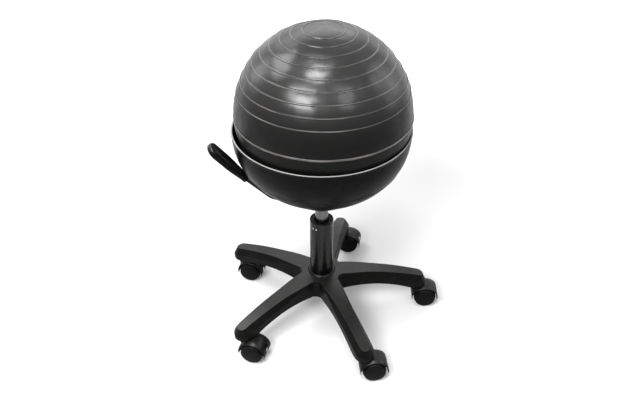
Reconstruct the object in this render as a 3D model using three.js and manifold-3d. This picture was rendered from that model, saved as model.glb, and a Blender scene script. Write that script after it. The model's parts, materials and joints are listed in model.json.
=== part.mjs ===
// Balance ball chair: an inflated ball in a bowl, on a gas lift with a height lever, a star base and casters.
// Millimetres, +Z up. The origin is on the floor, on the axis of the column.
import * as THREE from 'three';
import { mergeVertices } from 'three/addons/utils/BufferGeometryUtils.js';
import Module from 'manifold-3d';

const wasm = await Module();
wasm.setup();

// Clearances and cutters
const seatGap = 0.3;            // between pieces that touch
const overrun = 2;              // how far a cutter passes what it cuts
const weldSnap = 0.0001;        // distance at which two vertices are one

// How finely round things are divided
const bigRoundSegments = 32;
const tubeSegments = 20;
const wheelSegments = 18;
const smallSegments = 10;
const nutSides = 6;
const ballInnerRings = 8;
const plateCornerSteps = 4;
const gripCurveSteps = 8;
const tipSteps = 4;
const sideSteps = 7;
const webSteps = 3;
const pocketBendSteps = 2;
const hoodSteps = 14;
const hoodCrownSteps = 6;
const flankSteps = 9;

// Casters
const wheelRadius = 25;
const casterHalfWidth = 25;
const wheelInnerFace = 5.3;
const wheelChamfer = 1.6;
const wheelTread = 11.2;        // width of the wheel's straight tread
const wheelShoulder = wheelInnerFace + wheelTread;
const wheelFaceStep = 2.1;      // how much smaller the face is than the tread
const wheelFaceRadius = wheelRadius - wheelFaceStep;
const wheelDome = 2.1;          // how far the middle of the face stands out of its edge
const wheelDomeShare = 0.62;    // where the dome of the face starts to fall
const trail = 21.1;
const hoodBeyondWheel = 4.8;
const hoodOverWheel = 5.2;
const hoodReach = wheelRadius + hoodBeyondWheel;
const hoodRise = wheelRadius + hoodOverWheel;
const hoodWall = 1.6;
const hoodCrown = 4.2;          // how much lower the hood is at its edges than in its middle
const wheelOutOfHood = 5.2;
const hoodHalfWidth = casterHalfWidth - wheelOutOfHood;
const hoodHang = 4.8;           // how far the hood's points hang below the axle
const casterWebGap = 1.1;       // between a wheel and the web in the caster's middle
const casterWebHalf = wheelInnerFace - casterWebGap;
const axleRadius = 3;
const axleBossWall = 5;
const axleBossRadius = axleRadius + axleBossWall;
const axleEndCover = 4;
const slotHalfWidth = 5;
const slotDepth = 11.8;
const slotReach = hoodReach - slotDepth;
const slotRise = 15;
const stemRadius = 4;
const stemGripRadius = 5;
const casterBossWall = 4;
const casterBossRadius = stemGripRadius + casterBossWall;
const bossOverHood = 1.1;
const casterBossTop = wheelRadius + hoodRise + bossOverHood;
const stemInBoss = 19.3;
const stemSeat = casterBossTop - stemInBoss;
const stemTopGap = 1;
const casterAngles = [-1.3, -9, -14.7, -16.6, 6.2];   // degrees, where each caster trails

// Star base
const armCount = 5;
const firstArmAngle = 5.5;      // degrees
const stemCircle = 217.9;
const armHalfWidth = 20.6;      // also the radius of the rounded tip
const armOverCaster = 1.7;
const tipBottomHeight = casterBossTop + armOverCaster;
const tipThickness = 22.32;     // from the tip's underside to its flat top
const hubRise = 56.5;           // from the tip's underside to the hub's flat top
const hubTopHeight = tipBottomHeight + hubRise;
const topArcStart = 38;
const topArcRadius = (stemCircle + armHalfWidth - topArcStart) ** 2 / (2 * (hubRise - tipThickness));
const webRadius = 9;
const bevelWidth = 6.9;
const bevelDepth = 14.4;
const facetHalfWidth = armHalfWidth - bevelWidth;
const facetInset = 7.3;         // from the tip to the end of the flat top
const facetEnd = stemCircle + armHalfWidth - facetInset;
const hubChamfer = 1;
const hubChamferDepth = 1.5;
const bevelStart = 50;
const bevelLength = 80;         // along which the bevel grows to its full size
const bevelFull = bevelStart + bevelLength;
const archRise = 20.5;
const archPeakReach = 105;
const archPeakHeight = tipBottomHeight + archRise;
const archSpread = 463;
const webCentreReach = (armHalfWidth + webRadius) / Math.sin(Math.PI / armCount);
const hubRingInset = 5.36;      // from the webs to the ring where the arms' tops meet
const hubRingRadius = webCentreReach - webRadius - hubRingInset;
const armWall = 3;
const armRoof = 3.2;
const ribWallThickness = 2.6;
const pocketsAlongArm = 3;
const stemSocketDepth = 22;

// Gas lift
const tubeRadius = 25;
const tubeStandout = 142;       // from the hub's flat top to the tube's mouth
const tubeTop = hubTopHeight + tubeStandout;
const tubeWall = 1.6;
const tubeLip = 1.2;
const tubeTaper = 1.4;          // how much the radius shrinks to the tube's foot
const tubeBottomRadius = tubeRadius - tubeTaper;
const tubeFloor = 2.4;
const sleeveLength = 60;
const sleeveRecess = 1.5;
const cylinderRadius = 14;
const cylinderTaper = 0.9;      // how much the radius shrinks through the socket
const cylinderWall = 2;
const cylinderCapThickness = 8;
const rodRadius = 5;
const pistonThickness = 12;
const pistonGap = 0.4;
const pistonDrop = 15.5;        // from the tube's mouth to the piston's top
const rodTop = tubeTop - pistonDrop;
const rodCollarWall = 3;
const rodCollarRadius = rodRadius + rodCollarWall;
const rodCollarThickness = 5;
const bearingWall = 6;
const bearingRadius = rodRadius + bearingWall;
const bearingHeight = 6;
const rodTail = 6;              // what stands below the tube's floor
const rodClipWall = 3;
const rodClipRadius = rodRadius + rodClipWall;
const rodClipThickness = 1.5;
const rodNeckDepth = 1;
const rodNeckRadius = rodRadius - rodNeckDepth;
const buttonRadius = 3.9;
const buttonDepth = 24;

// The hub round the tube
const hubBossDrop = 51.5;
const hubBossBottom = hubTopHeight - hubBossDrop;
const hubBossWall = 8;
const hubBossRadius = tubeRadius + hubBossWall;
const hubCollarWall = 5;
const hubCollarRadius = tubeRadius + hubCollarWall;
const hubCollarTopWall = 2.4;
const hubCollarTopRadius = tubeRadius + hubCollarTopWall;
const hubCollarRise = 7.5;
const hubCollarHeight = hubTopHeight + hubCollarRise;
const pocketStartGap = 14;
const pocketEndGap = 17.9;
const pocketStart = hubBossRadius + pocketStartGap;
const pocketEnd = stemCircle - pocketEndGap;
const tubeOverBoss = 2;
const tubeBottom = hubBossBottom + tubeOverBoss;
const taperUnderCollar = 2;
const tubeTaperTop = hubCollarHeight - taperUnderCollar;
const cylinderRise = 50;        // from the tube's foot to the cylinder's
const cylinderBottom = tubeBottom + cylinderRise;

// Taper socket, and the room over it for the lever
const socketWall = 5;
const socketRadius = cylinderRadius + socketWall;
const socketOverTube = 32.5;    // a little more than the seat sinks
const socketBottom = tubeTop + socketOverTube;
const socketLength = 26;
const socketTop = socketBottom + socketLength;
const cylinderOverSocket = 2;
const cylinderTop = socketTop + cylinderOverSocket;
const leverRoom = 21;           // from the socket to the bowl's underside
const landHeight = socketTop + leverRoom;

// Bowl and its lower cover
const bowlDepth = 147.5;
const bowlRimHeight = landHeight + bowlDepth;
const rimBand = 6.8;            // straight part under the rim
const bowlWaistHeight = bowlRimHeight - rimBand;
const curveUnderLand = 3.9;     // the flank's curve would bottom out this far under the land
const bowlDrop = bowlDepth - rimBand + curveUnderLand;
const bowlFullnessShare = 2.07; // 2 would be an ellipse
const bowlWall = 2.6;
const rimRounding = 1.3;
const seamRise = 76;
const seamHeight = landHeight + seamRise;
const seamGap = 0.5;
const seamShelf = 3;            // how far the two walls overlap above the seam
const coverWall = 2.6;
const curveEndRise = 25;        // below this height the cover runs straight to its flat land
const curveEndHeight = landHeight + curveEndRise;
const landRadius = 78;
const coverHoleRadius = 30;
const drainRadius = 12;
const cradleInset = 2;
const cradleRadius = landRadius - cradleInset;
const cradleWall = 3;
const plateBoltInset = 20;
const plateBoltCircle = landRadius - plateBoltInset;
const padInset = 18;            // keeps the pad clear of the bolts' heads
const padRadius = plateBoltCircle - padInset;   // flat pad round the drain hole, which the ball sits on
const padHeight = 1;
const bowlFloorThickness = 3.04;
const floorBottom = landHeight + coverWall + seatGap;
const floorTop = floorBottom + bowlFloorThickness;
const padTop = floorTop + padHeight;
const coverScrewRise = 33;
const coverScrewHeight = landHeight + coverScrewRise;
const coverScrewHeadRadius = 4.2;
const coverScrewHeadHeight = 1.6;
const coverScrewRadius = 1.9;
const coverScrewLength = 10;
const coverScrewCount = 4;
const coverScrewAngle = -88;    // degrees, first of the ring
const headTopShare = 0.8;       // a screw head's top against its underside
const screwDriveRadius = 1.6;
const screwDriveDepth = 0.9;

// Ball, which sits on the pad
const ballRadius = 170;
const ballOffset = 3;           // the ball rests a little to the right in its bowl
const ballWall = 2.5;
const ribHeight = 0.9;
const ribWidth = 3.2;
const firstRibAngle = 13.2;     // degrees from the pole
const ribPitchAngle = 7.35;     // degrees from rib to rib
const ribsPerHalf = 9;
const valveRadius = 4;
const plugFlangeRadius = 8;
const plugFlangeThickness = 1.7;
const plugDepth = 4;            // how far the plug stands into the ball
const ballCentreHeight = padTop + seatGap + Math.sqrt(ballRadius ** 2 - (drainRadius - ballOffset) ** 2);
const ballReachAtRim = Math.sqrt(ballRadius ** 2 - Math.max(0, ballCentreHeight - bowlRimHeight) ** 2);
const rimClearance = 0.48;
const bowlRadius = ballReachAtRim + ballOffset + rimClearance + bowlWall;

// Seat plate and its bolts
const plateEndMargin = 29;
const plateSideMargin = 9;
const plateBoltSpacing = plateBoltCircle * Math.SQRT2;
const plateLength = plateBoltSpacing + 2 * plateEndMargin;
const plateWidth = plateBoltSpacing + 2 * plateSideMargin;
const plateThickness = 3;
const plateCorner = 12;
const plateBoltRadius = 3;
const plateBoltHeadRadius = 6;
const plateBoltHeadHeight = 3.4;
const plateBoltTail = 2;        // what stands below its nut
const weldNutRadius = 5.8;
const weldNutHeight = 4;
const plateBoltCount = 4;

// Bracket
const bracketWall = 3;
const bracketBack = 42;
const bracketFront = 62;
const socketUnderBracket = 8;
const bracketBottom = socketBottom + socketUnderBracket;

// Lever, in its own plane: along it and up
const leverAngle = 198;         // degrees, where the lever points
const leverThickness = 4;
const leverWidth = 14;
const leverEyeRadius = 7;
const eyeInset = 14;
const pivotReach = eyeInset - bracketBack;
const pivotUnderLand = 17;
const pivotHeight = landHeight - pivotUnderLand;
const pinRadius = 3;
const pinHeadRadius = 5;
const pinHeadThickness = 2;
const pinTail = 4;
const clipThickness = 1.2;
const clipRadius = 5;
const barUnderLand = 12.6;
const overButtonHeight = landHeight - barUnderLand;
const overButtonReach = -12;
const exitReach = 4;            // the bar bends this far outside the bracket
const channelExitReach = bracketFront + exitReach;
const channelClimb = 1.2;
const channelExitHeight = overButtonHeight + channelClimb;
const lowBendBeyondLand = 8;
const lowBendReach = landRadius + lowBendBeyondLand;
const lowBendClimb = 4.9;
const lowBendHeight = channelExitHeight + lowBendClimb;
const flankBendBeyondLand = 30;
const flankBendReach = landRadius + flankBendBeyondLand;
const flankBendClimb = 11.5;
const flankBendHeight = lowBendHeight + flankBendClimb;
const gripStartInset = 19.5;
const gripStartReach = bowlRadius - gripStartInset;
const gripUnderFlank = 14.78;
const gripStartHeight = flankHeight(gripStartReach) - gripUnderFlank;
const gripEndStandoff = 46.6;
const gripEndReach = bowlRadius + gripEndStandoff;
const gripEndUnderRim = 4.7;
const gripEndHeight = bowlRimHeight - gripEndUnderRim;
const gripWidth = 33;
const gripNeckWidth = 21;
const gripThickness = 13.6;
const gripEdge = 3.4;
const barInGrip = 45;
const leverScrewPlace = 20;     // from the low end of the grip
const leverScrewRadius = 2;
const leverScrewHeadRadius = 4;
const leverScrewHeadHeight = 2;
const leverScrewLength = 10;

// Finishes
const finish = (color, roughness, metalness) => new THREE.MeshStandardMaterial({ color, roughness, metalness });
const vinyl = finish(0x2b2b2c, 0.42, 0);
const satinPlastic = finish(0x1d1d1e, 0.5, 0);
const nylon = finish(0x1b1b1c, 0.55, 0);
const softTread = finish(0x171718, 0.7, 0);
const darkChrome = finish(0x4a4a4c, 0.22, 1);
const polishedSteel = finish(0x9a9a9c, 0.18, 1);
const blackSteel = finish(0x202021, 0.45, 0.6);
const zinc = finish(0x8d8f92, 0.35, 1);
const palePlug = finish(0xd8d8d4, 0.5, 0);

const radians = (degrees) => THREE.MathUtils.degToRad(degrees);
const at = (x, y) => new THREE.Vector2(x, y);

// Welds a closed geometry, drops triangles without area and turns its faces outwards.
function welded(geometry) {
  const bare = geometry.index ? geometry : geometry.clone();
  for (const name of Object.keys(bare.attributes)) if (name !== 'position') bare.deleteAttribute(name);
  const merged = mergeVertices(bare, weldSnap);
  const place = merged.attributes.position;
  const corners = Array.from(merged.index.array);
  const kept = [];
  let volume = 0;
  const [a, b, c] = [new THREE.Vector3(), new THREE.Vector3(), new THREE.Vector3()];
  for (let i = 0; i < corners.length; i += 3) {
    const [p, q, r] = corners.slice(i, i + 3);
    if (p === q || q === r || r === p) continue;
    kept.push(p, q, r);
    volume += a.fromBufferAttribute(place, p).dot(
      b.fromBufferAttribute(place, q).cross(c.fromBufferAttribute(place, r)));
  }
  if (volume < 0) for (let i = 0; i < kept.length; i += 3) [kept[i], kept[i + 1]] = [kept[i + 1], kept[i]];
  merged.setIndex(kept);
  return merged;
}

function toSolid(geometry) {
  const mesh = welded(geometry);
  return new wasm.Manifold(new wasm.Mesh({
    numProp: 3,
    vertProperties: new Float32Array(mesh.attributes.position.array),
    triVerts: new Uint32Array(mesh.index.array),
  }));
}

function fromSolid(solid) {
  const mesh = solid.getMesh();
  const geometry = new THREE.BufferGeometry();
  geometry.setAttribute('position', new THREE.BufferAttribute(new Float32Array(mesh.vertProperties), 3));
  geometry.setIndex(new THREE.BufferAttribute(new Uint32Array(mesh.triVerts), 1));
  return geometry;
}

const join = (first, ...rest) => fromSolid(rest.reduce((sum, next) => sum.add(toSolid(next)), toSolid(first)));
const cut = (body, ...tools) => fromSolid(tools.reduce((left, tool) => left.subtract(toSolid(tool)), toSolid(body)));

// A profile of [radius, height] points turned round the vertical axis.
function turned(profile, segments) {
  const points = profile.map(([radius, height]) => at(radius, height));
  const closesOnAxis = profile[0][0] === 0 && profile.at(-1)[0] === 0;
  if (!closesOnAxis) points.push(points[0].clone());
  return new THREE.LatheGeometry(points, segments).rotateX(radians(90));
}

const rod = (radius, low, high, segments = smallSegments) =>
  turned([[0, low], [radius, low], [radius, high], [0, high]], segments);

const slab = (shape, low, high, curveSegments = smallSegments) =>
  new THREE.ExtrudeGeometry(shape, { depth: high - low, bevelEnabled: false, curveSegments }).translate(0, 0, low);

// A shape drawn as [x, z] in the vertical plane, given depth from low y to high y.
const uprightSlab = (shape, low, high, curveSegments = smallSegments) =>
  slab(shape, -high, -low, curveSegments).rotateX(radians(90));

const block = (lowX, highX, lowY, highY, lowZ, highZ) =>
  new THREE.BoxGeometry(highX - lowX, highY - lowY, highZ - lowZ)
    .translate((lowX + highX) / 2, (lowY + highY) / 2, (lowZ + highZ) / 2);

// A closed skin through loops with the same number of points, capped by fans at both ends.
function lofted(loops) {
  const geometry = new THREE.BufferGeometry();
  const size = loops[0].length;
  const points = loops.flat();
  const index = [];
  for (let ring = 0; ring + 1 < loops.length; ring += 1) {
    for (let k = 0; k < size; k += 1) {
      const [p, q] = [ring * size + k, ring * size + (k + 1) % size];
      index.push(p, q, q + size, p, q + size, p + size);
    }
  }
  for (const [loop, flip] of [[0, true], [loops.length - 1, false]]) {
    const middle = loops[loop].reduce((sum, point) => sum.clone().add(point)).clone().divideScalar(size);
    points.push(middle);
    for (let k = 0; k < size; k += 1) {
      const [p, q] = [loop * size + k, loop * size + (k + 1) % size];
      index.push(points.length - 1, flip ? q : p, flip ? p : q);
    }
  }
  geometry.setFromPoints(points);
  geometry.setIndex(index);
  return geometry;
}

const chair = new THREE.Group();

function add(name, geometry, material, parent = chair) {
  const mesh = new THREE.Mesh(welded(geometry), material);
  mesh.name = name;
  parent.add(mesh);
  return mesh;
}

// Profile of the bowl's flank: radius at a height below the waist.
function flankRadius(height) {
  const depth = Math.max(0, (bowlWaistHeight - height) / bowlDrop);
  return bowlRadius * (1 - depth ** bowlFullnessShare) ** (1 / bowlFullnessShare);
}

// The height at which the flank has a radius.
function flankHeight(radius) {
  const depth = (1 - (radius / bowlRadius) ** bowlFullnessShare) ** (1 / bowlFullnessShare);
  return bowlWaistHeight - bowlDrop * depth;
}

// Even steps from one value to another.
function steps(from, to, count) {
  return Array.from({ length: count + 1 }, (_, k) => from + (to - from) * k / count);
}

// A profile moved inwards, each point along its own normal.
function layer(profile, distance) {
  return profile.map(([radius, height], k) => {
    const before = profile[Math.max(0, k - 1)];
    const after = profile[Math.min(profile.length - 1, k + 1)];
    const along = at(after[0] - before[0], after[1] - before[1]).normalize();
    return [radius + along.y * distance, height - along.x * distance];
  });
}

// The stretch of a falling profile from one height down to another, cut cleanly at both.
function span(profile, high, low) {
  const radiusAt = (height) => {
    const k = Math.min(profile.length - 2, Math.max(0, profile.findIndex((point) => point[1] <= height) - 1));
    const [[r1, h1], [r2, h2]] = [profile[k], profile[k + 1]];
    return r2 + (r1 - r2) * (height - h2) / (h1 - h2);
  };
  const between = profile.filter(([, height]) => height < high - weldSnap && height > low + weldSnap);
  return [[radiusAt(high), high], ...between, [radiusAt(low), low]];
}

const flank = [
  ...steps(bowlWaistHeight, curveEndHeight, flankSteps).map((height) => [flankRadius(height), height]),
  [landRadius, landHeight],
];

// Height of the ball's underside over a place, at a distance from the ball's own axis
const ballUnderside = (distance, lift = 0) =>
  ballCentreHeight - Math.sqrt((ballRadius + lift) ** 2 - distance ** 2);
const plateTop = landHeight - seatGap;
const plateBottom = plateTop - plateThickness;
const bracketTop = plateBottom - seatGap;

const evenTurns = (count, start) => steps(0, 360, count).slice(0, -1).map((turn) => radians(start + turn));
const coverScrewTurns = evenTurns(coverScrewCount, coverScrewAngle);
const plateBoltPlaces = evenTurns(plateBoltCount, 180 / plateBoltCount)
  .map((turn) => [plateBoltCircle * Math.cos(turn), plateBoltCircle * Math.sin(turn)]);
const turnedToLever = (geometry) => geometry.rotateZ(radians(leverAngle));

function buildBall() {
  const halfRib = THREE.MathUtils.radToDeg(ribWidth / 2 / ballRadius);
  const ribAngles = Array.from({ length: ribsPerHalf }, (_, k) => firstRibAngle + ribPitchAngle * k);
  const lastAngle = ribAngles.at(-1);
  const blankShares = [1 / 3, 2 / 3];
  const upper = [[firstRibAngle / 2, 0]];
  for (const angle of ribAngles) upper.push([angle - halfRib, 0], [angle, ribHeight], [angle + halfRib, 0]);
  for (const share of blankShares) upper.push([lastAngle + (90 - lastAngle) * share, 0]);
  upper.push([90 - halfRib, 0], [90, ribHeight]);
  const lower = upper.slice(0, -1).reverse().map(([angle, lift]) => [180 - angle, lift]);
  const onSphere = (radius, angle) => [radius * Math.sin(radians(angle)), radius * Math.cos(radians(angle))];
  const skin = [...upper, ...lower].map(([angle, lift]) => onSphere(ballRadius + lift, angle));
  const hole = valveRadius + seatGap;
  const innerRadius = ballRadius - ballWall;
  const inner = steps(180, 0, ballInnerRings).slice(1, -1).map((angle) => onSphere(innerRadius, angle));
  const mouth = [[hole, -Math.sqrt(ballRadius ** 2 - hole ** 2)], [hole, -Math.sqrt(innerRadius ** 2 - hole ** 2)]];
  const profile = [[0, ballRadius], ...skin, ...mouth, ...inner, [0, innerRadius]];
  add('ball', turned(profile, bigRoundSegments).translate(ballOffset, 0, ballCentreHeight), vinyl);

  const pole = ballUnderside(hole);
  const plugTop = pole + ballWall + plugDepth;
  const flangeTop = ballUnderside(0) - seatGap;
  const plug = turned([
    [0, flangeTop - plugFlangeThickness], [plugFlangeRadius, flangeTop - plugFlangeThickness],
    [plugFlangeRadius, flangeTop], [valveRadius, flangeTop], [valveRadius, plugTop], [0, plugTop],
  ], smallSegments);
  add('ball_plug', plug.translate(ballOffset, 0, 0), palePlug);
}

// A screw with its head up and its shank down; the underside of its head lies at height zero.
function screw(headRadius, headHeight, shankRadius, length) {
  return turned([
    [0, -length], [shankRadius, -length], [shankRadius, 0], [headRadius, 0],
    [headRadius * headTopShare, headHeight], [screwDriveRadius, headHeight],
    [screwDriveRadius, headHeight - screwDriveDepth], [0, headHeight - screwDriveDepth],
  ], smallSegments);
}

// Stands a piece that points up on the flank's outward normal, at the height of the cover screws.
function onFlank(geometry, turn, lift) {
  const slope = (flankRadius(coverScrewHeight + overrun) - flankRadius(coverScrewHeight - overrun)) / (2 * overrun);
  const lean = Math.PI / 2 + Math.atan(slope);
  return geometry.translate(0, 0, lift).rotateY(lean)
    .translate(flankRadius(coverScrewHeight), 0, coverScrewHeight).rotateZ(turn);
}

function boltHoles(radius, low, high) {
  return plateBoltPlaces.map(([x, y]) => turnedToLever(rod(radius, low, high).translate(x, y, 0)));
}

function buildBowl() {
  const inCover = coverWall + seatGap;
  const cradleInner = cradleRadius - cradleWall;
  const cradleTop = (radius) => ballUnderside(radius - ballOffset, ribHeight) - seatGap;
  const shelfHeight = seamHeight + seamShelf;
  const profile = [
    [bowlRadius - rimRounding, bowlRimHeight],
    [bowlRadius, bowlRimHeight - rimRounding],
    ...span(flank, bowlWaistHeight, seamHeight),
    ...span(layer(flank, inCover), seamHeight, floorBottom),
    [drainRadius, floorBottom],
    [drainRadius, padTop],
    [padRadius, padTop],
    [padRadius, floorTop],
    [cradleInner, floorTop],
    [cradleInner, cradleTop(cradleInner)],
    [cradleRadius, cradleTop(cradleRadius)],
    [cradleRadius, floorTop],
    ...span(layer(flank, inCover + bowlWall), shelfHeight, floorTop).reverse(),
    ...span(layer(flank, bowlWall), bowlWaistHeight, shelfHeight).reverse(),
    [bowlRadius - bowlWall, bowlRimHeight - rimRounding],
    [bowlRadius - bowlWall + rimRounding / 2, bowlRimHeight],
  ];
  const screwHoles = coverScrewTurns.map((turn) =>
    onFlank(rod(coverScrewRadius + seatGap, -coverScrewLength - overrun, overrun), turn, 0));
  const bolts = boltHoles(plateBoltRadius + seatGap, floorBottom - overrun, floorTop + overrun);
  add('bowl', cut(turned(profile, bigRoundSegments), ...bolts, ...screwHoles), satinPlastic);
}

function buildCover() {
  const top = seamHeight - seamGap;
  const profile = [
    ...span(flank, top, landHeight),
    [coverHoleRadius, landHeight],
    [coverHoleRadius, landHeight + coverWall],
    ...span(layer(flank, coverWall), top, landHeight + coverWall).reverse(),
  ];
  const screwHoles = coverScrewTurns.map((turn) =>
    onFlank(rod(coverScrewRadius + seatGap, -coverScrewLength - overrun, overrun), turn, 0));
  const bolts = boltHoles(plateBoltRadius + seatGap, landHeight - overrun, landHeight + coverWall + overrun);
  add('bottom_cover', cut(turned(profile, bigRoundSegments), ...bolts, ...screwHoles), satinPlastic);
  coverScrewTurns.forEach((turn, k) => {
    const piece = screw(coverScrewHeadRadius, coverScrewHeadHeight, coverScrewRadius, coverScrewLength);
    add(`cover_screw_${k + 1}`, onFlank(piece, turn, seatGap), zinc);
  });
}

function buildSeatPlate() {
  const [halfLength, halfWidth] = [plateLength / 2, plateWidth / 2];
  const outline = new THREE.Shape();
  outline.absarc(halfLength - plateCorner, halfWidth - plateCorner, plateCorner, 0, Math.PI / 2);
  outline.absarc(plateCorner - halfLength, halfWidth - plateCorner, plateCorner, Math.PI / 2, Math.PI);
  outline.absarc(plateCorner - halfLength, plateCorner - halfWidth, plateCorner, Math.PI, Math.PI * 3 / 2);
  outline.absarc(halfLength - plateCorner, plateCorner - halfWidth, plateCorner, Math.PI * 3 / 2, Math.PI * 2);
  const plate = slab(outline, plateBottom, plateTop, plateCornerSteps);
  const nuts = plateBoltPlaces.map(([x, y]) =>
    rod(weldNutRadius, plateBottom - weldNutHeight, plateBottom + plateThickness / 2, nutSides).translate(x, y, 0));
  const holes = plateBoltPlaces.map(([x, y]) =>
    rod(plateBoltRadius + seatGap, plateBottom - weldNutHeight - overrun, plateTop + overrun).translate(x, y, 0));
  add('seat_plate', turnedToLever(cut(join(plate, ...nuts), ...holes)), blackSteel);

  const headSeat = floorTop + seatGap;
  const length = headSeat - (plateBottom - weldNutHeight - plateBoltTail);
  plateBoltPlaces.forEach(([x, y], k) => {
    const bolt = screw(plateBoltHeadRadius, plateBoltHeadHeight, plateBoltRadius, length);
    add(`plate_bolt_${k + 1}`, turnedToLever(bolt.translate(x, y, headSeat)), zinc);
  });
}

// A closed outline of even thickness along a bent line of [x, z] points.
function ribbon(points, thickness) {
  const sides = [1, -1].map((side) => points.map(([x, z], k) => {
    const here = at(x, z);
    const dirs = [
      k > 0 && here.clone().sub(at(...points[k - 1])),
      k + 1 < points.length && at(...points[k + 1]).sub(here),
    ].filter(Boolean).map((direction) => direction.normalize());
    const mean = dirs.reduce((sum, direction) => sum.add(direction), at(0, 0)).normalize();
    const mitre = thickness / 2 / mean.dot(dirs[0]);
    return at(x - mean.y * mitre * side, z + mean.x * mitre * side);
  }));
  return new THREE.Shape([...sides[0], ...sides[1].reverse()]);
}

function circle(radius, x = 0, y = 0) {
  const shape = new THREE.Shape();
  shape.absarc(x, y, radius, 0, Math.PI * 2);
  return shape;
}

const bracketInner = socketRadius + seatGap;
const bracketOuter = bracketInner + bracketWall;
const gripSlope = Math.atan2(gripEndHeight - gripStartHeight, gripEndReach - gripStartReach);
const gripLength = Math.hypot(gripEndReach - gripStartReach, gripEndHeight - gripStartHeight);

// Moves a piece drawn flat, along X with its thickness in Z, to the grip's place in the lever's plane.
const onGrip = (geometry) => geometry.rotateY(-gripSlope).translate(gripStartReach, 0, gripStartHeight);

function buildLever() {
  const half = leverWidth / 2;
  const path = [
    [pivotReach, pivotHeight], [overButtonReach, overButtonHeight], [channelExitReach, channelExitHeight],
    [lowBendReach, lowBendHeight], [flankBendReach, flankBendHeight], [gripStartReach, gripStartHeight],
    [gripStartReach + barInGrip * Math.cos(gripSlope), gripStartHeight + barInGrip * Math.sin(gripSlope)],
  ];
  const eye = uprightSlab(circle(leverEyeRadius, pivotReach, pivotHeight), -half, half);
  const pinHole = uprightSlab(circle(pinRadius + seatGap, pivotReach, pivotHeight), -half - overrun, half + overrun);
  const screwBore = rod(leverScrewRadius + seatGap, -leverThickness, leverThickness);
  const screwHole = onGrip(screwBore.translate(leverScrewPlace, 0, 0));
  const bar = cut(join(uprightSlab(ribbon(path, leverThickness), -half, half), eye), pinHole, screwHole);
  add('lever_bar', turnedToLever(bar), blackSteel);

  const outline = new THREE.Shape();
  const round = gripWidth / 2;
  const shoulderShare = 0.35;
  outline.moveTo(0, -gripNeckWidth / 2);
  outline.quadraticCurveTo(gripLength * shoulderShare, -round, gripLength - round, -round);
  outline.absarc(gripLength - round, 0, round, -Math.PI / 2, Math.PI / 2);
  outline.quadraticCurveTo(gripLength * shoulderShare, round, 0, gripNeckWidth / 2);
  const paddle = new THREE.ExtrudeGeometry(outline, {
    depth: gripThickness - 2 * gripEdge, bevelThickness: gripEdge, bevelSize: gripEdge, bevelOffset: -gripEdge,
    bevelSegments: 2, curveSegments: gripCurveSteps,
  }).translate(0, 0, gripEdge - gripThickness / 2);
  const slotHalf = leverThickness / 2 + seatGap;
  const slot = block(-overrun, barInGrip + seatGap, -half - seatGap, half + seatGap, -slotHalf, slotHalf);
  const headSeat = -gripThickness / 2 - seatGap;
  const shankHole = rod(leverScrewRadius + seatGap, headSeat - overrun, headSeat + leverScrewLength + seatGap)
    .translate(leverScrewPlace, 0, 0);
  add('lever_grip', turnedToLever(onGrip(cut(paddle, slot, shankHole))), satinPlastic);
  const gripScrew = screw(leverScrewHeadRadius, leverScrewHeadHeight, leverScrewRadius, leverScrewLength)
    .rotateX(Math.PI).translate(leverScrewPlace, 0, headSeat);
  add('lever_screw', turnedToLever(onGrip(gripScrew)), zinc);

  const pinSeat = bracketOuter + seatGap;
  const alongY = (geometry) => turnedToLever(geometry.rotateX(radians(-90)).translate(pivotReach, 0, pivotHeight));
  const pin = turned([
    [0, -pinSeat - pinHeadThickness], [pinHeadRadius, -pinSeat - pinHeadThickness], [pinHeadRadius, -pinSeat],
    [pinRadius, -pinSeat], [pinRadius, pinSeat + pinTail], [0, pinSeat + pinTail],
  ], smallSegments);
  add('lever_pin', alongY(pin), zinc);
  const clip = turned([
    [pinRadius + seatGap, pinSeat], [clipRadius, pinSeat],
    [clipRadius, pinSeat + clipThickness], [pinRadius + seatGap, pinSeat + clipThickness],
  ], smallSegments);
  add('pin_clip', alongY(clip), zinc);
}

// The cylinder's radius in its tapered top
const taperRadius = (height) =>
  cylinderRadius - cylinderTaper * (height - socketBottom) / (cylinderTop - socketBottom);

function buildBracket() {
  const outside = block(-bracketBack, bracketFront, -bracketOuter, bracketOuter, bracketBottom, bracketTop);
  const inside = block(-bracketBack - overrun, bracketFront + overrun, -bracketInner, bracketInner,
    bracketBottom - overrun, bracketTop - bracketWall);
  const pinHole = uprightSlab(circle(pinRadius + seatGap, pivotReach, pivotHeight),
    -bracketOuter - overrun, bracketOuter + overrun);
  add('mechanism_bracket', turnedToLever(cut(outside, inside, pinHole)), blackSteel);
  add('taper_socket', turned([
    [taperRadius(socketBottom) + seatGap, socketBottom], [socketRadius, socketBottom], [socketRadius, socketTop],
    [taperRadius(socketTop) + seatGap, socketTop],
  ], tubeSegments), blackSteel);
}

const tubeSeatRadius = (height) =>
  tubeRadius - (tubeRadius - tubeBottomRadius) * (tubeTaperTop - height) / (tubeTaperTop - tubeBottom);

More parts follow.
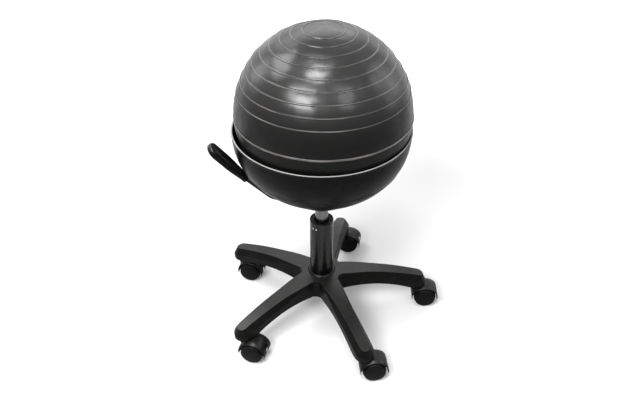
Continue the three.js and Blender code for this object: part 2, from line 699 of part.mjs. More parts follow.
function buildGasLift() {
  const boreRadius = tubeRadius - tubeWall;
  const rodHole = rodRadius + seatGap;
  const floor = tubeBottom + tubeFloor;
  add('outer_tube', turned([
    [rodHole, tubeBottom], [tubeBottomRadius, tubeBottom], [tubeRadius, tubeTaperTop],
    [tubeRadius, tubeTop - tubeLip],
    [tubeRadius - tubeWall / 2, tubeTop], [boreRadius, tubeTop - tubeLip / 2], [boreRadius, tubeTaperTop],
    [tubeBottomRadius - tubeWall, floor], [rodHole, floor],
  ], tubeSegments), darkChrome);

  const sleeveTop = tubeTop - sleeveRecess;
  const sleeveBore = cylinderRadius + seatGap;
  const sleeveOuter = boreRadius - seatGap;
  add('guide_sleeve', turned([
    [sleeveBore, sleeveTop - sleeveLength], [sleeveOuter, sleeveTop - sleeveLength], [sleeveOuter, sleeveTop],
    [sleeveBore + sleeveRecess, sleeveTop], [sleeveBore, sleeveTop - sleeveRecess],
  ], tubeSegments), nylon);

  const capHeight = cylinderTop - cylinderCapThickness - cylinderWall * 3;
  add('inner_cylinder', turned([
    [rodHole, cylinderBottom], [cylinderRadius, cylinderBottom], [cylinderRadius, socketBottom],
    [taperRadius(cylinderTop), cylinderTop], [buttonRadius + seatGap, cylinderTop],
    [buttonRadius + seatGap, capHeight], [cylinderRadius - cylinderWall, capHeight],
    [cylinderRadius - cylinderWall, cylinderBottom + cylinderCapThickness],
    [rodHole, cylinderBottom + cylinderCapThickness],
  ], tubeSegments), polishedSteel);

  const buttonTop = overButtonHeight - leverThickness / 2 - seatGap;
  add('release_button', rod(buttonRadius, buttonTop - buttonDepth, buttonTop), zinc);

  const bearingSeat = floor + seatGap;
  const bearingTop = bearingSeat + bearingHeight;
  const bearingWaist = (bearingRadius + rodRadius) / 2;
  add('thrust_bearing', turned([
    [rodHole, bearingSeat], [bearingRadius, bearingSeat], [bearingRadius, bearingSeat + bearingHeight / 3],
    [bearingWaist, bearingSeat + bearingHeight / 3], [bearingWaist, bearingTop - bearingHeight / 3],
    [bearingRadius, bearingTop - bearingHeight / 3], [bearingRadius, bearingTop], [rodHole, bearingTop],
  ], smallSegments), zinc);

  const collar = bearingTop + seatGap;
  const clipTop = tubeBottom - seatGap;
  const clipBottom = clipTop - rodClipThickness;
  const piston = cylinderRadius - cylinderWall - pistonGap;
  add('piston_rod', turned([
    [0, tubeBottom - rodTail], [rodRadius, tubeBottom - rodTail], [rodRadius, clipBottom - seatGap],
    [rodNeckRadius, clipBottom - seatGap], [rodNeckRadius, clipTop + seatGap], [rodRadius, clipTop + seatGap],
    [rodRadius, collar], [rodCollarRadius, collar], [rodCollarRadius, collar + rodCollarThickness],
    [rodRadius, collar + rodCollarThickness], [rodRadius, rodTop - pistonThickness],
    [piston, rodTop - pistonThickness], [piston, rodTop], [0, rodTop],
  ], tubeSegments), polishedSteel);
  add('rod_clip', turned([
    [rodNeckRadius + seatGap, clipBottom], [rodClipRadius, clipBottom],
    [rodClipRadius, clipTop], [rodNeckRadius + seatGap, clipTop],
  ], smallSegments), zinc);
}

// Heights and widths of an arm at a reach from the column's axis
const armTop = (reach) => hubTopHeight - Math.max(0, reach - topArcStart) ** 2 / (2 * topArcRadius);
const armBottom = (reach) => Math.max(tipBottomHeight, archPeakHeight - (reach - archPeakReach) ** 2 / archSpread);
const bevelShare = (reach) => THREE.MathUtils.smoothstep(reach, bevelStart, bevelFull);
const bevelDrop = (reach) => THREE.MathUtils.lerp(hubChamferDepth, bevelDepth, bevelShare(reach));
const facetHalf = (reach) => armHalfWidth - THREE.MathUtils.lerp(hubChamfer, bevelWidth, bevelShare(reach));

// One half of an arm's outline as stations from the tip to the middle of the web. Each has the outline's
// point, the edge of the flat top and the point on the arm's middle line that they close on.
function armStations() {
  const facetCentre = facetEnd - facetHalfWidth;
  const halfSector = Math.PI / armCount;
  const webReach = webCentreReach * Math.cos(halfSector);
  const stations = [];
  for (const turn of steps(0, Math.PI / 2, tipSteps)) {
    stations.push({
      edge: at(stemCircle + armHalfWidth * Math.cos(turn), armHalfWidth * Math.sin(turn)),
      crease: at(facetCentre + facetHalfWidth * Math.cos(turn), facetHalfWidth * Math.sin(turn)),
      middle: at(facetCentre, 0),
    });
  }
  for (const reach of steps(stemCircle, webReach, sideSteps).slice(1)) {
    const held = Math.min(reach, facetCentre);
    stations.push({ edge: at(reach, armHalfWidth), crease: at(held, facetHalf(reach)), middle: at(held, 0) });
  }
  const centre = at(webReach, webCentreReach * Math.sin(halfSector));
  steps(0, 1, webSteps).slice(1).forEach((share) => {
    const turn = -Math.PI / 2 - (Math.PI / 2 - halfSector) * share;
    const out = at(Math.cos(turn), Math.sin(turn));
    stations.push({
      edge: centre.clone().addScaledVector(out, webRadius),
      crease: centre.clone().addScaledVector(out, webRadius + hubChamfer),
      middle: at(Math.cos(halfSector * share), Math.sin(halfSector * share)).multiplyScalar(hubRingRadius),
      web: true,
    });
  });
  return stations;
}

// The five arms and the hub as one closed skin.
function starSkin() {
  const half = armStations();
  const mirrored = half.slice(1).reverse().map((station) => ({
    ...station,
    edge: at(station.edge.x, -station.edge.y),
    crease: at(station.crease.x, -station.crease.y),
    middle: at(station.middle.x, -station.middle.y),
  }));
  const oneArm = [...mirrored, ...half.slice(0, -1)];
  const columns = [];
  for (let arm = 0; arm < armCount; arm += 1) {
    const turn = radians(firstArmAngle) + Math.PI * 2 * arm / armCount;
    const raise = (point, height) => new THREE.Vector3(point.x, point.y, height)
      .applyAxisAngle(new THREE.Vector3(0, 0, 1), turn);
    for (const { edge, crease, middle, web } of oneArm) {
      const edgeReach = web ? edge.length() : edge.x;
      const creaseReach = web ? crease.length() : crease.x;
      columns.push({
        web,
        points: [
          raise(middle, armBottom(middle.length())), raise(edge, armBottom(edgeReach)),
          raise(edge, armTop(edgeReach) - bevelDrop(edgeReach)), raise(crease, armTop(creaseReach)),
          raise(middle, armTop(middle.length())),
        ],
      });
    }
  }
  const rows = columns[0].points.length;
  const points = columns.flatMap((column) => column.points);
  const [lowMiddle, highMiddle] = [points.length, points.length + 1];
  points.push(new THREE.Vector3(0, 0, armBottom(hubRingRadius)), new THREE.Vector3(0, 0, armTop(hubRingRadius)));
  const index = [];
  columns.forEach((column, k) => {
    const [here, next] = [k * rows, (k + 1) % columns.length * rows];
    for (let row = 0; row + 1 < rows; row += 1) {
      index.push(here + row, next + row, next + row + 1, here + row, next + row + 1, here + row + 1);
    }
    if (column.web || columns[(k + 1) % columns.length].web) {
      index.push(highMiddle, here + rows - 1, next + rows - 1, lowMiddle, next, here);
    }
  });
  const geometry = new THREE.BufferGeometry().setFromPoints(points);
  geometry.setIndex(index);
  return geometry;
}

// Hollows under the arms, in two rows beside a middle rib, parted by cross ribs.
function armPockets() {
  const cell = (pocketEnd - pocketStart - ribWallThickness * (pocketsAlongArm - 1)) / pocketsAlongArm;
  const pockets = [];
  for (let k = 0; k < pocketsAlongArm; k += 1) {
    const start = pocketStart + k * (cell + ribWallThickness);
    for (const side of [1, -1]) {
      const loops = steps(start, start + cell, pocketBendSteps).map((reach) => {
        const low = armBottom(reach) - overrun;
        const outer = armHalfWidth - armWall;
        const roof = armTop(reach) - armRoof;
        const shoulder = Math.min(roof, armTop(reach) - bevelDrop(reach) - armRoof / 2);
        const flat = Math.min(outer, facetHalf(reach) - armWall / 2);
        const inner = ribWallThickness / 2;
        return [[inner, low], [outer, low], [outer, shoulder], [flat, roof], [inner, roof]]
          .map(([y, z]) => new THREE.Vector3(reach, y * side, z));
      });
      pockets.push(lofted(loops));
    }
  }
  return pockets;
}

function buildStarBase() {
  const boss = turned([
    [0, hubBossBottom], [hubBossRadius, hubBossBottom], [hubBossRadius, armTop(0) - hubChamferDepth],
    [hubCollarRadius, armTop(0) - hubChamferDepth], [hubCollarRadius, armTop(0)],
    [hubCollarTopRadius, hubCollarHeight], [0, hubCollarHeight],
  ], tubeSegments);
  const bore = turned([
    [0, hubBossBottom - overrun], [tubeSeatRadius(hubBossBottom - overrun) + seatGap, hubBossBottom - overrun],
    [tubeRadius + seatGap, tubeTaperTop], [tubeRadius + seatGap, hubCollarHeight + overrun],
    [0, hubCollarHeight + overrun],
  ], tubeSegments);
  const turns = evenTurns(armCount, firstArmAngle);
  const pockets = turns.flatMap((turn) => armPockets().map((pocket) => pocket.rotateZ(turn)));
  const sockets = turns.map((turn) =>
    rod(stemGripRadius + seatGap, tipBottomHeight - overrun, tipBottomHeight + stemSocketDepth)
      .translate(stemCircle, 0, 0).rotateZ(turn));
  add('star_base', cut(join(starSkin(), boss), bore, ...pockets, ...sockets), nylon);
}

// How high the hood's crown stands over the axle at a distance from the caster's middle plane
const hoodTop = (side) => hoodRise - hoodCrown * (Math.abs(side) / hoodHalfWidth) ** 3;

// One cross-section of the hood, an arch closed by a straight line below the axle.
function hoodLoop(side) {
  const rise = hoodTop(side);
  const hang = Math.asin(hoodHang / rise);
  return steps(-hang, Math.PI + hang, hoodSteps).map((turn) =>
    new THREE.Vector3(trail + hoodReach * Math.cos(turn), side, wheelRadius + rise * Math.sin(turn)));
}

// The same for the well of a wheel, open at the bottom.
function wellLoop(side) {
  const reach = hoodReach - hoodWall;
  const rise = hoodTop(Math.min(Math.abs(side), hoodHalfWidth)) - hoodWall;
  const arch = steps(0, Math.PI, hoodSteps).map((turn) => [reach * Math.cos(turn), rise * Math.sin(turn)]);
  return [...arch, [-reach, -hoodRise], [reach, -hoodRise]]
    .map(([x, z]) => new THREE.Vector3(trail + x, side, wheelRadius + z));
}

function casterBody() {
  const dome = lofted(steps(-hoodHalfWidth, hoodHalfWidth, hoodCrownSteps).map(hoodLoop));
  const wellSides = [...steps(casterWebHalf, hoodHalfWidth, hoodCrownSteps / 2), hoodHalfWidth + overrun];
  const wells = [1, -1].map((side) => lofted(wellSides.map((distance) => wellLoop(distance * side))));
  const stemBoss = rod(casterBossRadius, stemSeat, casterBossTop);
  const axleBoss = uprightSlab(circle(axleBossRadius, trail, wheelRadius), -casterWebHalf, casterWebHalf);
  const slot = block(trail + slotReach, trail + hoodReach + overrun, -slotHalfWidth, slotHalfWidth,
    wheelRadius - hoodRise, wheelRadius + slotRise);
  const axleBore = uprightSlab(circle(axleRadius + seatGap, trail, wheelRadius),
    -casterWebHalf - overrun, casterWebHalf + overrun);
  const stemBore = rod(stemRadius + seatGap, stemSeat, casterBossTop + overrun);
  return cut(join(dome, stemBoss, axleBoss), ...wells, slot, axleBore, stemBore);
}

function casterStem() {
  const grip = casterBossTop + seatGap;
  const top = tipBottomHeight + stemSocketDepth - stemTopGap;
  return turned([
    [0, stemSeat + seatGap], [stemRadius, stemSeat + seatGap], [stemRadius, grip], [stemGripRadius, grip],
    [stemGripRadius, top - stemTopGap], [stemGripRadius - stemTopGap, top], [0, top],
  ], smallSegments);
}

// A wheel with its domed face outwards, its axis along +Z, from the caster's middle plane.
function wheel() {
  const edge = casterHalfWidth - wheelDome;
  const boreEnd = casterHalfWidth - axleEndCover;
  return turned([
    [0, casterHalfWidth], [wheelFaceRadius * wheelDomeShare, casterHalfWidth - wheelDome / 4],
    [wheelFaceRadius - wheelChamfer / 2, edge], [wheelFaceRadius, edge - wheelChamfer],
    [wheelRadius, wheelShoulder], [wheelRadius, wheelInnerFace + wheelChamfer],
    [wheelRadius - wheelChamfer, wheelInnerFace], [axleRadius + seatGap, wheelInnerFace],
    [axleRadius + seatGap, boreEnd], [0, boreEnd],
  ], wheelSegments);
}

function buildCasters() {
  const body = casterBody();
  evenTurns(armCount, firstArmAngle).forEach((turn, k) => {
    const caster = new THREE.Group();
    caster.position.set(stemCircle * Math.cos(turn), stemCircle * Math.sin(turn), 0);
    caster.rotation.z = radians(casterAngles[k]);
    chair.add(caster);
    const name = `caster_${k + 1}`;
    add(`${name}_body`, body.clone(), nylon, caster);
    add(`${name}_stem`, casterStem(), zinc, caster);
    const axleEnd = casterHalfWidth - axleEndCover - seatGap;
    add(`${name}_axle`, rod(axleRadius, -axleEnd, axleEnd).rotateX(radians(90)), zinc, caster)
      .position.set(trail, 0, wheelRadius);
    add(`${name}_wheel_left`, wheel().rotateX(radians(-90)), softTread, caster).position.set(trail, 0, wheelRadius);
    add(`${name}_wheel_right`, wheel().rotateX(radians(90)), softTread, caster).position.set(trail, 0, wheelRadius);
  });
}

buildBall();
buildBowl();
buildCover();
buildSeatPlate();
buildLever();
buildBracket();
buildGasLift();
buildStarBase();
buildCasters();

export default chair;
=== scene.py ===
"""Looks of the balance ball chair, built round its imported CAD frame.

Sizes are in millimetres in the frame of the part: the origin is on the floor under the column, and
+Z is up. What the materials and the studio lamps read is in metres.
"""

from __future__ import annotations

import json
import logging
import math
from collections.abc import Iterable, Sequence
from dataclasses import dataclass, field
from enum import Enum

import bmesh
import bpy
from mathutils import Matrix, Vector, noise

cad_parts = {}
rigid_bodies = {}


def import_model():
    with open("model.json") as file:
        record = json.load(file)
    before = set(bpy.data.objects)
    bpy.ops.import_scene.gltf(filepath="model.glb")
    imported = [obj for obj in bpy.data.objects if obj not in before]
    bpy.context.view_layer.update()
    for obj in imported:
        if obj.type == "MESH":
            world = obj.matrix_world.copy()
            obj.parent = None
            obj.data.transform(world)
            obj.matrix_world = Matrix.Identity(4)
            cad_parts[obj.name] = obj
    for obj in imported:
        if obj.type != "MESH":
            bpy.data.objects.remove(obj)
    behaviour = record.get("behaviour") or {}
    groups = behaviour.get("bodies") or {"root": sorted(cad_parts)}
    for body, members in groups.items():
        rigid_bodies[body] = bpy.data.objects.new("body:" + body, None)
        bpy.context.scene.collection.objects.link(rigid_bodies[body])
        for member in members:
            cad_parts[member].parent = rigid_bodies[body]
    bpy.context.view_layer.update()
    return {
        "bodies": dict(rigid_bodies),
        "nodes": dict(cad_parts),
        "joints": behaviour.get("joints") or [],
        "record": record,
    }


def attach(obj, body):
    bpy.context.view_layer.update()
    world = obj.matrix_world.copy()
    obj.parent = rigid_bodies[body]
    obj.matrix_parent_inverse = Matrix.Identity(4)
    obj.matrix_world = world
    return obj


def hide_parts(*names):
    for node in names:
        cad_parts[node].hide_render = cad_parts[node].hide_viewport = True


Point = tuple[float, float]
Place = tuple[float, float, float]
Colour = tuple[float, float, float]

LOG = logging.getLogger("ball_chair")
RING_MARK = "ring"
MM = 0.001
TURN = 2 * math.pi
QUARTER = math.pi / 2
# The play between two pieces, and how near vertices are when they are merged.
GAP = 0.3
WELD = 0.001
COARSE_WELD = 0.01
# Blender's noise swings about this value.
NOISE_MEAN = 0.5
NOISE_ROUGHNESS = 0.55
WHITE: Colour = (1.0, 1.0, 1.0)
BLACK: Colour = (0.0, 0.0, 0.0)


# Materials


class Channel:
    """A socket of a material, on which plain arithmetic adds Math nodes."""

    def __init__(self, tree: Tree, socket: bpy.types.NodeSocket) -> None:
        """Wraps an output socket of a tree."""
        self.tree = tree
        self.socket = socket

    def _maths(self, operation: str, first: Channel | float, second: Channel | float) -> Channel:
        """Adds one Math node on two values."""
        return self.tree.node("ShaderNodeMath", {"operation": operation}, {0: first, 1: second})

    def __add__(self, other: Channel | float) -> Channel:
        """The sum."""
        return self._maths("ADD", self, other)

    def __radd__(self, other: float) -> Channel:
        """The sum, with a number first."""
        return self._maths("ADD", other, self)

    def __sub__(self, other: Channel | float) -> Channel:
        """The difference."""
        return self._maths("SUBTRACT", self, other)

    def __rsub__(self, other: float) -> Channel:
        """The difference from a number."""
        return self._maths("SUBTRACT", other, self)

    def __mul__(self, other: Channel | float) -> Channel:
        """The product."""
        return self._maths("MULTIPLY", self, other)

    def __rmul__(self, other: float) -> Channel:
        """The product, with a number first."""
        return self._maths("MULTIPLY", other, self)


class Tree:
    """The nodes of a material or of the world."""

    def __init__(self, tree: bpy.types.NodeTree) -> None:
        """Takes up a tree that is there."""
        self.tree = tree

    def node(
        self,
        kind: str,
        settings: dict[str, object] | None = None,
        inputs: dict[int | str, object] | None = None,
        output: int | str = 0,
    ) -> Channel:
        """Adds any node.

        Args:
            kind: The node's type.
            settings: Its properties; the stops of a ramp go under "stops".
            inputs: A value or a channel for each socket, by number or name.
            output: The output to wrap.

        Returns:
            The chosen output.
        """
        made = self.tree.nodes.new(kind)
        for key, value in (settings or {}).items():
            if key == "stops":
                for element, (position, grey) in zip(made.color_ramp.elements, value):
                    element.position = position
                    element.color = (grey, grey, grey, 1.0)
            else:
                setattr(made, key, value)
        for key, value in (inputs or {}).items():
            self.feed(made.inputs[key], value)
        return Channel(self, made.outputs[output])

    def feed(self, socket: bpy.types.NodeSocket, value: object) -> None:
        """Links a channel to a socket, or sets its value.

        Args:
            socket: An input socket.
            value: A channel, a number or a tuple.
        """
        if isinstance(value, Channel):
            self.tree.links.new(value.socket, socket)
        else:
            socket.default_value = value

    def seen(self) -> Channel:
        """Tells what the camera, a gloss or glass looks at from the light on the object.

        Returns:
            1 for what is looked at, and 0 for light.
        """
        camera, glossy, glass = (
            self.node("ShaderNodeLightPath", output=f"Is {ray} Ray")
            for ray in ("Camera", "Glossy", "Transmission")
        )
        settings = {"operation": "ADD", "use_clamp": True}
        return self.node("ShaderNodeMath", settings, {0: camera + glossy, 1: glass})


class Board(Tree):
    """One material and the nodes on it."""

    def __init__(self, name: str) -> None:
        """Makes the material with a bare Principled shader.

        Args:
            name: The material's name.
        """
        self.material = bpy.data.materials.new(name)
        self.material.use_nodes = True
        super().__init__(self.material.node_tree)
        self.shader = self.tree.nodes["Principled BSDF"]
        self.place = self.node("ShaderNodeTexCoord", output="Object")

    def set(self, **values: object) -> None:
        """Sets sockets of the shader by name, with _ for each space."""
        for key, value in values.items():
            self.feed(self.shader.inputs[key.replace("_", " ")], value)

    def noise(self, scale: float, detail: float = 2.0, stretch: Place = WHITE) -> Channel:
        """Adds noise on the object's own coordinates.

        Args:
            scale: Cells per metre.
            detail: Octaves.
            stretch: Scale along each axis.

        Returns:
            The noise, about 0.5 on average.
        """
        placed = self.node("ShaderNodeMapping", inputs={"Vector": self.place, "Scale": stretch})
        inputs = {"Vector": placed, "Scale": scale, "Detail": detail, "Roughness": NOISE_ROUGHNESS}
        return self.node("ShaderNodeTexNoise", inputs=inputs)

    def spots(
        self, scale: float, detail: float, span: Point, stretch: Place = WHITE
    ) -> Channel:
        """Makes patches from noise.

        Args:
            scale: Cells per metre.
            detail: Octaves.
            span: The noise at which a patch starts, and at which it is whole.
            stretch: Scale along each axis.

        Returns:
            0 to 1.
        """
        stops = [(span[0], 0.0), (span[1], 1.0)]
        fac = {"Fac": self.noise(scale, detail, stretch)}
        return self.node("ShaderNodeValToRGB", {"stops": stops}, fac)

    def blend(
        self, share: Channel | float, first: Colour | Channel, second: Colour | Channel
    ) -> Channel:
        """Mixes two colours.

        Args:
            share: How much of the second.
            first: A colour.
            second: A colour.

        Returns:
            The mixed colour.
        """
        inputs: dict[int | str, object] = {0: share}
        for socket, colour in ((6, first), (7, second)):
            inputs[socket] = (*colour, 1.0) if isinstance(colour, tuple) else colour
        return self.node("ShaderNodeMix", {"data_type": "RGBA"}, inputs, output=2)

    def height(self) -> Channel:
        """The height in the object's own frame, in metres."""
        return self.node("ShaderNodeSeparateXYZ", inputs={0: self.place}, output="Z")

    def facing_up(self, span: Point) -> Channel:
        """How much a face looks up.

        Args:
            span: The height of the face's normal where this starts, and where it is whole.

        Returns:
            0 to 1.
        """
        normal = self.node("ShaderNodeTexCoord", output="Normal")
        up = self.node("ShaderNodeSeparateXYZ", inputs={0: normal}, output="Z")
        return self.between(up, span)

    def between(self, value: Channel, span: Point) -> Channel:
        """Eases a value from 0 at the start of a span to 1 at its end."""
        inputs = {"Value": value, "From Min": span[0], "From Max": span[1]}
        return self.node("ShaderNodeMapRange", {"interpolation_type": "SMOOTHSTEP"}, inputs)

    def relief(self, height: Channel, depth: float, under: Channel | None = None) -> Channel:
        """Adds a bump.

        Args:
            height: The height map, 0 to 1.
            depth: What 1 stands for, in millimetres.
            under: A bump to add it to.

        Returns:
            The new normal.
        """
        inputs: dict[int | str, object] = {"Height": height, "Distance": depth * MM}
        inputs["Strength"] = 1.0
        if under is not None:
            inputs["Normal"] = under
        return self.node("ShaderNodeBump", inputs=inputs)


@dataclass(frozen=True)
class Finish:
    """What every finish has: a slot of the record, a colour and a gloss."""

    slot: str
    colour: Colour
    roughness: float
    shine: float = 0.5

    def lighter(self, factor: float) -> Colour:
        """The colour times a factor."""
        return tuple(min(1.0, part * factor) for part in self.colour)

    def paint(self, board: Board) -> None:
        """Sets the shine; each finish adds its own colour, gloss and relief."""
        board.set(Specular_IOR_Level=self.shine)


@dataclass(frozen=True)
class BallVinyl(Finish):
    """Thick vinyl, uneven from its mould: worn glossy on top, duller low down, its rings painted
    paler as a painted highlight.
    """

    dapple_scale: float = 110.0
    dapple_depth: float = 0.34
    dapple_haze: float = 0.12
    grain_scale: float = 650.0
    grain_depth: float = 0.035
    gloss_heights: Point = (0.53, 0.63)
    gloss: float = 0.95
    gloss_roughness: float = 0.26
    scuff_scale: float = 17.0
    scuff_span: Point = (0.42, 0.68)
    scuff_lightness: float = 2.4
    scuff_haze: float = 0.1
    scuff_wear: float = 0.3
    # The ring fields below paint the raised rings paler: a painted highlight on the ridges,
    # stronger on the low rings, with some scuffed wear.
    ring_highlight_lightness: float = 30.0
    ring_highlight_plain: float = 0.08
    ring_highlight_low: float = 0.3
    ring_scuff_highlight: float = 0.5
    ring_polish: float = 0.08
    ring_gloss: float = 0.3

    def paint(self, board: Board) -> None:
        """Lays dapples and a fine grain over the vinyl, glosses its top, and paints its rings
        paler: a painted highlight, more of it low down, with some scuffed wear.

        Args:
            board: The material.
        """
        super().paint(board)
        dapples = board.noise(self.dapple_scale, 3.0)
        grain = board.noise(self.grain_scale, 1.0)
        scuffs = board.spots(self.scuff_scale, 5.0, self.scuff_span)
        rings = board.node("ShaderNodeAttribute", {"attribute_name": RING_MARK}, output="Fac")
        top_wear_and_painted_light = board.between(board.height(), self.gloss_heights)
        skin = board.blend(scuffs * top_wear_and_painted_light, self.colour, self.lighter(self.scuff_lightness))
        # Painted highlight: the rings' colour is made paler, most on the low rings and where
        # scuffed.
        low, scuffed_ring_highlight = (1.0 - top_wear_and_painted_light) * self.ring_highlight_low, scuffs * self.ring_scuff_highlight
        bright = rings * (self.ring_highlight_plain + low + scuffed_ring_highlight)
        haze = scuffs * self.scuff_haze + (dapples - NOISE_MEAN) * self.dapple_haze
        board.set(
            Base_Color=board.blend(bright, skin, self.lighter(self.ring_highlight_lightness)),
            Roughness=self.roughness + haze - rings * self.ring_polish,
            Coat_Weight=top_wear_and_painted_light * (self.gloss - scuffs * self.scuff_wear) + rings * self.ring_gloss,
            Coat_Roughness=self.gloss_roughness,
            Normal=board.relief(grain, self.grain_depth, board.relief(dapples, self.dapple_depth)),
        )


@dataclass(frozen=True)
class Moulded(Finish):
    """Moulded plastic: a spark-eroded texture, handling marks, a worn gloss on its tops, and
    painted light that makes up-facing faces paler.
    """

    grain_scale: float = 900.0
    grain_depth: float = 0.03
    flow_scale: float = 14.0
    flow_depth: float = 0.25
    flow_haze: float = 0.1
    mark_scale: float = 60.0
    mark_span: Point = (0.5, 0.78)
    mark_haze: float = 0.08
    sheen: float = 0.4
    sheen_roughness: float = 0.34
    sheen_scale: float = 30.0
    sheen_least: float = 0.7
    sheen_patches: float = 0.6
    facing: Point = (0.55, 0.97)
    # Paleness and lightness make handling marks paler, and also up-facing faces, which is painted
    # light on the tops.
    paleness: float = 0.5
    lightness: float = 3.0

    def paint(self, board: Board) -> None:
        """Lays the texture, the slow flow of the surface, the marks, the gloss on the tops, and
        painted light that makes up-facing faces paler.

        Args:
            board: The material.
        """
        super().paint(board)
        grain = board.noise(self.grain_scale)
        flow = board.noise(self.flow_scale)
        marks = board.spots(self.mark_scale, 6.0, self.mark_span)
        patches = self.sheen_least + board.noise(self.sheen_scale, 4.0) * self.sheen_patches
        top_wear_and_painted_light = board.facing_up(self.facing) * patches
        # Painted light: faces that look up are painted paler, besides the real handling marks.
        pale = marks * self.paleness + top_wear_and_painted_light * self.paleness
        haze = marks * self.mark_haze + (flow - NOISE_MEAN) * self.flow_haze
        board.set(
            Base_Color=board.blend(pale, self.colour, self.lighter(self.lightness)),
            Roughness=self.roughness + haze,
            Coat_Weight=top_wear_and_painted_light * self.sheen,
            Coat_Roughness=self.sheen_roughness,
            Normal=board.relief(grain, self.grain_depth, board.relief(flow, self.flow_depth)),
        )


@dataclass(frozen=True)
class Rimmed(Moulded):
    """The same plastic with its rim painted pale, a painted highlight in worn-looking patches."""

    # The rim fields and the pale colour place a painted highlight along the rim's top.
    rim_highlight_heights: Point = (0.4812, 0.483)
    rim_highlight_facing: Point = (0.35, 0.9)
    rim_highlight_scale: float = 40.0
    rim_highlight_least: float = 0.5
    rim_highlight_patches: float = 0.9
    pale: Colour = (0.3, 0.3, 0.295)

    def paint(self, board: Board) -> None:
        """Paints the rim's up-facing top paler in patches, as a painted highlight.

        Args:
            board: The material.
        """
        super().paint(board)
        # Painted highlight: the up-facing top of the rim is blended towards a pale grey.
        rim = board.between(board.height(), self.rim_highlight_heights) * board.facing_up(self.rim_highlight_facing)
        patches = self.rim_highlight_least + board.noise(self.rim_highlight_scale, 4.0) * self.rim_highlight_patches
        below = Channel(board, board.shader.inputs["Base Color"].links[0].from_socket)
        board.set(Base_Color=board.blend(rim * patches, below, self.pale))


@dataclass(frozen=True)
class Plated(Finish):
    """Bright metal with fine lines along the height of the part, and lighter bands in its colour:
    painted reflection streaks along a tube, a random mottle where nothing stretches the pattern.
    """

    line_scale: float = 420.0
    line_depth: float = 0.02
    along: Place = (1.0, 1.0, 0.01)
    # The streak fields paint lighter bands into the metal's colour, as painted reflection streaks
    # along a tube.
    streak_scale: float = 90.0
    streak_span: Point = (0.35, 0.65)
    reflection_streak_lightness: float = 1.45
    streak_haze: float = 0.05
    smudge_scale: float = 35.0
    smudge_haze: float = 0.12

    def paint(self, board: Board) -> None:
        """Lays the lines, broad lighter bands in the metal's colour as painted reflection streaks,
        and a little haze over the metal.

        Args:
            board: The material.
        """
        super().paint(board)
        lines = board.noise(self.line_scale, stretch=self.along)
        # Painted reflection: lighter bands along the part in the metal's colour.
        streaks = board.spots(self.streak_scale, 3.0, self.streak_span, self.along)
        smudges = board.noise(self.smudge_scale, 5.0)
        haze = streaks * self.streak_haze + (smudges - NOISE_MEAN) * self.smudge_haze
        board.set(
            Metallic=1.0,
            Base_Color=board.blend(streaks, self.colour, self.lighter(self.reflection_streak_lightness)),
            Roughness=self.roughness + haze,
            Normal=board.relief(lines, self.line_depth),
        )


@dataclass(frozen=True)
class Coated(Finish):
    """Steel under a thin black coat with a slight orange peel and worn spots."""

    peel_scale: float = 320.0
    peel_depth: float = 0.06
    wear_scale: float = 110.0
    wear_span: Point = (0.66, 0.74)
    worn: Colour = (0.16, 0.16, 0.165)
    worn_metal: float = 0.8
    worn_polish: float = 0.1

    def paint(self, board: Board) -> None:
        """Lays the peel and the wear.

        Args:
            board: The material.
        """
        super().paint(board)
        wear = board.spots(self.wear_scale, 6.0, self.wear_span)
        board.set(
            Base_Color=board.blend(wear, self.colour, self.worn),
            Metallic=wear * self.worn_metal,
            Roughness=self.roughness - wear * self.worn_polish,
            Normal=board.relief(board.noise(self.peel_scale), self.peel_depth),
        )


PITCH: Colour = (0.003, 0.003, 0.003)


class Look(Enum):
    """The chair's finishes."""

    VINYL = BallVinyl("vinyl", (0.0054, 0.0051, 0.0049), 0.36, 0.06)
    SHELL = Moulded("satin_plastic", PITCH, 0.32, 0.035, sheen=0.9, facing=(0.3, 0.97))
    BOWL = Rimmed("satin_plastic", PITCH, 0.32, 0.035, sheen=0.9, facing=(0.3, 0.97))
    NYLON = Moulded("nylon", (0.0034, 0.0032, 0.003), 0.4, 0.05, grain_depth=0.04, sheen=0.54)
    SLEEVE = Moulded("nylon", PITCH, 0.42, 0.04, sheen=0.12)
    TREAD = Moulded("tread", PITCH, 0.34, 0.05, grain_scale=1500.0, grain_depth=0.02)
    TUBE = Plated("dark_chrome", (0.02, 0.0195, 0.019), 0.24)
    BRIGHT = Plated("polished_steel", (0.09, 0.09, 0.09), 0.22, smudge_haze=0.06)
    BLACK_STEEL = Coated("black_steel", (0.005, 0.005, 0.005), 0.36, 0.12)
    ZINC = Plated("zinc", (0.34, 0.345, 0.35), 0.3, line_scale=900.0, along=WHITE)
    DARK_ZINC = Coated("zinc", (0.008, 0.008, 0.008), 0.34, 0.2)
    PLUG = Moulded("pale_plug", (0.66, 0.66, 0.62), 0.45)

    def dress(self) -> bpy.types.Material:
        """Gives the finish's material, made once.

        Returns:
            The material.
        """
        name = f"{self.name.lower()}_finish"
        known = bpy.data.materials.get(name)
        if known is None:
            board = Board(name)
            self.value.paint(board)
            known = board.material
        return known


# Shapes


class Edges(Enum):
    """How a piece's edges are finished: the width in millimetres, the steps, the least angle."""

    CRISP = (0.0, 0, 30.0)
    FINE = (0.35, 2, 28.0)
    SOFT = (1.9, 3, 20.0)


def steps(first: float, last: float, count: int) -> list[float]:
    """Even steps from one value to another, both included."""
    return [first + (last - first) * k / count for k in range(count + 1)]


def eased(share: float) -> float:
    """A share from 0 to 1 with a soft start and end."""
    return share * share * (3 - 2 * share)


def held(value: float) -> float:
    """A value held between 0 and 1."""
    return min(1.0, max(0.0, value))


def polar(reach: float, degrees: float) -> Point:
    """The place at a reach from the origin, in a direction."""
    turn = math.radians(degrees)
    return reach * math.cos(turn), reach * math.sin(turn)


def move(x: float, y: float, z: float) -> Matrix:
    """A shift."""
    return Matrix.Translation((x, y, z))


